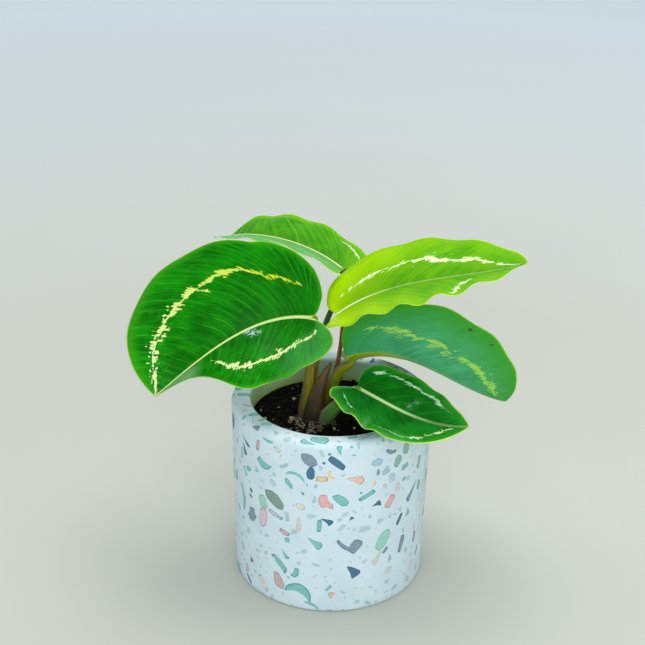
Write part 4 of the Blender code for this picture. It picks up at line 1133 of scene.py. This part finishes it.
# Old leaf bases: pale dry fibres over dark skin, all rough.
place = add_node(tree, "TexCoord", {}).outputs["Object"]
strands = add_node(tree, "TexNoise", {"Vector": place, "Scale": 1 / (CROWN_FIBRE * MM), "Detail": 4.0})
dry = add_node(tree, "MapRange", {"Value": strands, "From Min": 0.42, "From Max": 0.66})
tint = add_node(tree, "MixRGB", {"Fac": dry, "Color1": linear(CROWN_DARK), "Color2": linear(CROWN_LIGHT)})
relief = add_node(tree, "Bump", {"Height": strands, "Strength": 0.8, "Distance": 0.5 * MM})
set_inputs(shader, {"Base Color": tint, "Normal": relief, "Roughness": 0.9, "Specular IOR Level": 0.12})
crown = show("rhizome_crown", crown_mesh(), fibre)
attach(crown, "root")
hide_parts("rhizome")

# The potting mix. Damp peat lies in a low mound, 12 mm below the rim, and is strewn with its own
# crumbs, yellowed perlite and bits of bark and root.
MIX_EDGE = 84.5
MIX_RADIUS = 40.05
MIX_MOUND = 1.2
MIX_BOTTOM = 62
MIX_CALM_EDGE = 12
WALL_CLEARANCE = 0.4
MIX_RINGS = 70
MIX_SIDES = 200
CLOD = 4.5
# Clods of three sizes: how much finer than the largest, and how high in mm.
CLODS = ((1, 0.9), (2.3, 0.5), (6, 0.25))
PEAT_DARK = "#060504"
PEAT_LIGHT = "#1C1610"
PERLITE_PALE = "#D8D29A"
PERLITE_STAINED = "#8E8A4E"
BARK_DARK = "#4A3424"
BARK_PALE = "#A08A70"
ROOT_DARK = "#5C4C3E"
ROOT_PALE = "#C2B29A"
AMBER = "#E09A2C"
CRUMBS, CRUMB_SIZES = 1100, (0.7, 2.4)
PERLITE_BALLS, PERLITE_SIZES = 34, (0.8, 2.0)
SLIVERS, SLIVER_LENGTHS, SLIVER_MARGIN, SLIVER_SUNK = 40, (1.6, 4.5), 2, 0.42
# Root hair lies thickest in a patch at the foot of the stalks, in front.
ROOT_BITS, ROOT_BIT_LENGTHS, ROOT_BIT_SUNK = 75, (2, 6), 0.36
ROOT_PATCH_CENTRE, ROOT_PATCH_RADIUS = (-13, -11), 9.5
# Perlite and one amber fertiliser ball that show in front, as x, y and size in mm.
SHOWN_BALLS = ((-33.0, -6.0, 2.6), (-20.0, -5.0, 2.4), (-36.5, -2.0, 1.7), (-35.5, 4.0, 1.6),
               (2.5, -22.5, 1.7), (1.0, -26.0, 1.6), (22.0, -22.0, 1.7), (15.0, -24.0, 1.2),
               (-31.0, -12.0, 1.3), (-35.0, -9.0, 1.3))
AMBER_BALL = (-29.5, -18.5, 2.2)
BALL_LIFT = 0.3
LUMP_SIDES = 7
LUMP_RINGS = (-0.65, 0, 0.65)
SLIVER_SIDES = 5
SLIVER_TAPER = (0.4, 1, 1.1, 0.9, 0.3)
SLIVER_FLATNESS = 1.6
A_TURN = 6.28


def mix_height(x, y):
    """How high the mix stands at a place: a low mound, cloddy but for its edge against the wall."""
    share = math.hypot(x, y) / MIX_RADIUS
    place = Vector((x, y, 0))
    rough = sum(height * noise.noise(place * finer / CLOD) for finer, height in CLODS)
    return MIX_EDGE + MIX_MOUND * (1 - share ** 2) + rough * min(max(1 - share, 0) * MIX_CALM_EDGE, 1) ** 0.5


def mix_mesh():
    """The cloddy top as rings of points round its middle, closed with a plain side and underside."""
    points = [Vector((0, 0, mix_height(0, 0)))]
    faces = []
    for ring in range(1, MIX_RINGS + 1):
        radius = MIX_RADIUS * ring / MIX_RINGS
        for side in range(MIX_SIDES):
            angle = 2 * math.pi * side / MIX_SIDES
            x, y = radius * math.cos(angle), radius * math.sin(angle)
            points.append(Vector((x, y, mix_height(x, y))))
    for point in points[-MIX_SIDES:]:
        points.append(Vector((point.x, point.y, MIX_BOTTOM)))
    for side in range(MIX_SIDES):
        after = (side + 1) % MIX_SIDES
        faces.append((0, 1 + side, 1 + after))
        for ring in range(MIX_RINGS):
            start = 1 + ring * MIX_SIDES
            faces.append((start + side, start + MIX_SIDES + side, start + MIX_SIDES + after, start + after))
    faces.append(tuple(reversed(range(1 + MIX_RINGS * MIX_SIDES, 1 + (MIX_RINGS + 1) * MIX_SIDES))))
    return mesh_in_mm("potting_mix_bed", points, faces)


def lumps(name, places, dice):
    """Rough round lumps in one mesh, each from (x, y, z, size), twisted and squashed at random."""
    points = []
    faces = []
    for x, y, z, size in places:
        turn = Matrix.Rotation(dice.uniform(0, A_TURN), 3, "Z")
        turn @= Matrix.Rotation(dice.uniform(0, A_TURN), 3, "X")
        squash = Vector((dice.uniform(0.75, 1.2), dice.uniform(0.7, 1.1), dice.uniform(0.6, 1)))
        start = len(points)
        for corner in LUMP_CORNERS:
            way = Vector(corner).normalized() * size / 2 * dice.uniform(0.8, 1.15)
            points.append(turn @ (way * squash) + Vector((x, y, z)))
        faces += [tuple(start + index for index in face) for face in LUMP_FACES]
    return mesh_in_mm(name, points, faces)


def round_lump():
    """The corners and faces of a ball of three rings and two poles."""
    corners = [(0, 0, -1)]
    for height in LUMP_RINGS:
        for side in range(LUMP_SIDES):
            angle = 2 * math.pi * (side + height) / LUMP_SIDES
            radius = 1 - abs(height) / 3
            corners.append((math.cos(angle) * radius, math.sin(angle) * radius, height))
    corners.append((0, 0, 1))
    low, middle, high, top = (1 + LUMP_SIDES * ring for ring in range(4))
    faces = []
    for side in range(LUMP_SIDES):
        after = (side + 1) % LUMP_SIDES
        faces += [(0, low + after, low + side), (high + side, high + after, top)]
        faces += [(low + side, low + after, middle + after, middle + side),
                  (middle + side, middle + after, high + after, high + side)]
    return corners, faces


def slivers(name, places, dice):
    """Splinters in one mesh, each from (x, y, z, length), lying at random and bent a little."""
    points = []
    faces = []
    for x, y, z, length in places:
        turn = Matrix.Rotation(dice.uniform(0, A_TURN), 3, "Z")
        turn @= Matrix.Rotation(dice.uniform(-0.5, 0.3), 3, "Y")
        thick = dice.uniform(0.12, 0.3)
        bow = dice.uniform(-0.15, 0.15) * length
        start = len(points)
        for step, size in enumerate(SLIVER_TAPER):
            along = (step / (len(SLIVER_TAPER) - 1) - 0.5) * length
            for side in range(SLIVER_SIDES):
                angle = 2 * math.pi * side / SLIVER_SIDES
                across = thick * SLIVER_FLATNESS * size * math.cos(angle) + bow * (2 * along / length) ** 2
                offset = Vector((along, across, thick * size * math.sin(angle)))
                points.append(turn @ offset + Vector((x, y, z)))
        last = start + SLIVER_SIDES * (len(SLIVER_TAPER) - 1)
        for ring in range(start, last, SLIVER_SIDES):
            for side in range(SLIVER_SIDES):
                a, b = ring + side, ring + (side + 1) % SLIVER_SIDES
                faces.append((a, b, b + SLIVER_SIDES, a + SLIVER_SIDES))
        faces.append(tuple(start + side for side in reversed(range(SLIVER_SIDES))))
        faces.append(tuple(last + side for side in range(SLIVER_SIDES)))
    return mesh_in_mm(name, points, faces)


def on_mix(count, sizes, radius, dice, centre=(0, 0), sunk=0.25):
    """Random places on the mix within a radius of the centre, as (x, y, z, size)."""
    places = []
    while len(places) < count:
        angle, reach = dice.uniform(0, 2 * math.pi), radius * math.sqrt(dice.random())
        x, y = centre[0] + reach * math.cos(angle), centre[1] + reach * math.sin(angle)
        size = dice.uniform(*sizes)
        if math.hypot(x, y) < MIX_RADIUS - size / 2 - WALL_CLEARANCE:
            places.append((x, y, mix_height(x, y) + size * (0.5 - sunk), size))
    return places


def grain_material(name, dark, light, size, roughness, depth):
    """Loose matter: two colours clouded together at the given grain, with a rough skin."""
    material, tree, shader = new_material(name)
    place = add_node(tree, "TexCoord", {}).outputs["Object"]
    clouds = add_node(tree, "TexNoise", {"Vector": place, "Scale": 1 / (size * MM), "Detail": 5.0})
    mixed = add_node(tree, "MapRange", {"Value": clouds, "From Min": 0.4, "From Max": 0.68})
    tint = add_node(tree, "MixRGB", {"Fac": mixed, "Color1": linear(dark), "Color2": linear(light)})
    relief = add_node(tree, "Bump", {"Height": clouds, "Strength": 0.8, "Distance": depth * MM})
    set_inputs(shader, {"Base Color": tint, "Normal": relief, "Roughness": roughness,
                        "Specular IOR Level": 0.12})
    return material


LUMP_CORNERS, LUMP_FACES = round_lump()
dice = random.Random(21)
# Damp peat is nearly black and dull. Perlite is a pale, stained foam, bark and root hair are dry and
# dusty brown, and the fertiliser ball has a smooth resin coat that shines a little.
peat = grain_material("damp_peat", PEAT_DARK, PEAT_LIGHT, 1.6, 0.85, 0.6)
perlite = grain_material("expanded_perlite_stained", PERLITE_STAINED, PERLITE_PALE, 0.9, 0.8, 0.2)
bark = grain_material("dry_bark_and_root", BARK_DARK, BARK_PALE, 2.5, 0.9, 0.2)
roots = grain_material("dried_root_hair", ROOT_DARK, ROOT_PALE, 2.0, 0.9, 0.2)
resin = grain_material("amber_coated_fertiliser", AMBER, AMBER, 1.5, 0.35, 0.05)
bed = show("potting_mix_bed", mix_mesh(), peat)
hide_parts("potting_mix")
loose = [bed]
places = on_mix(CRUMBS, CRUMB_SIZES, MIX_RADIUS, dice)
loose.append(show("peat_crumbs", lumps("peat_crumbs", places, dice), peat))
places = [(x, y, mix_height(x, y) + size * BALL_LIFT, size) for x, y, size in SHOWN_BALLS]
places += on_mix(PERLITE_BALLS, PERLITE_SIZES, MIX_RADIUS, dice)
loose.append(show("perlite", lumps("perlite", places, dice), perlite))
x, y, size = AMBER_BALL
places = [(x, y, mix_height(x, y) + size * BALL_LIFT, size)]
loose.append(show("fertiliser_ball", lumps("fertiliser_ball", places, dice), resin))
places = on_mix(SLIVERS, SLIVER_LENGTHS, MIX_RADIUS - SLIVER_MARGIN, dice, sunk=SLIVER_SUNK)
loose.append(show("bark_slivers", slivers("bark_slivers", places, dice), bark))
places = on_mix(ROOT_BITS, ROOT_BIT_LENGTHS, ROOT_PATCH_RADIUS, dice, ROOT_PATCH_CENTRE, ROOT_BIT_SUNK)
loose.append(show("dry_root_bits", slivers("dry_root_bits", places, dice), roots))
for thing in loose:
    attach(thing, "root")
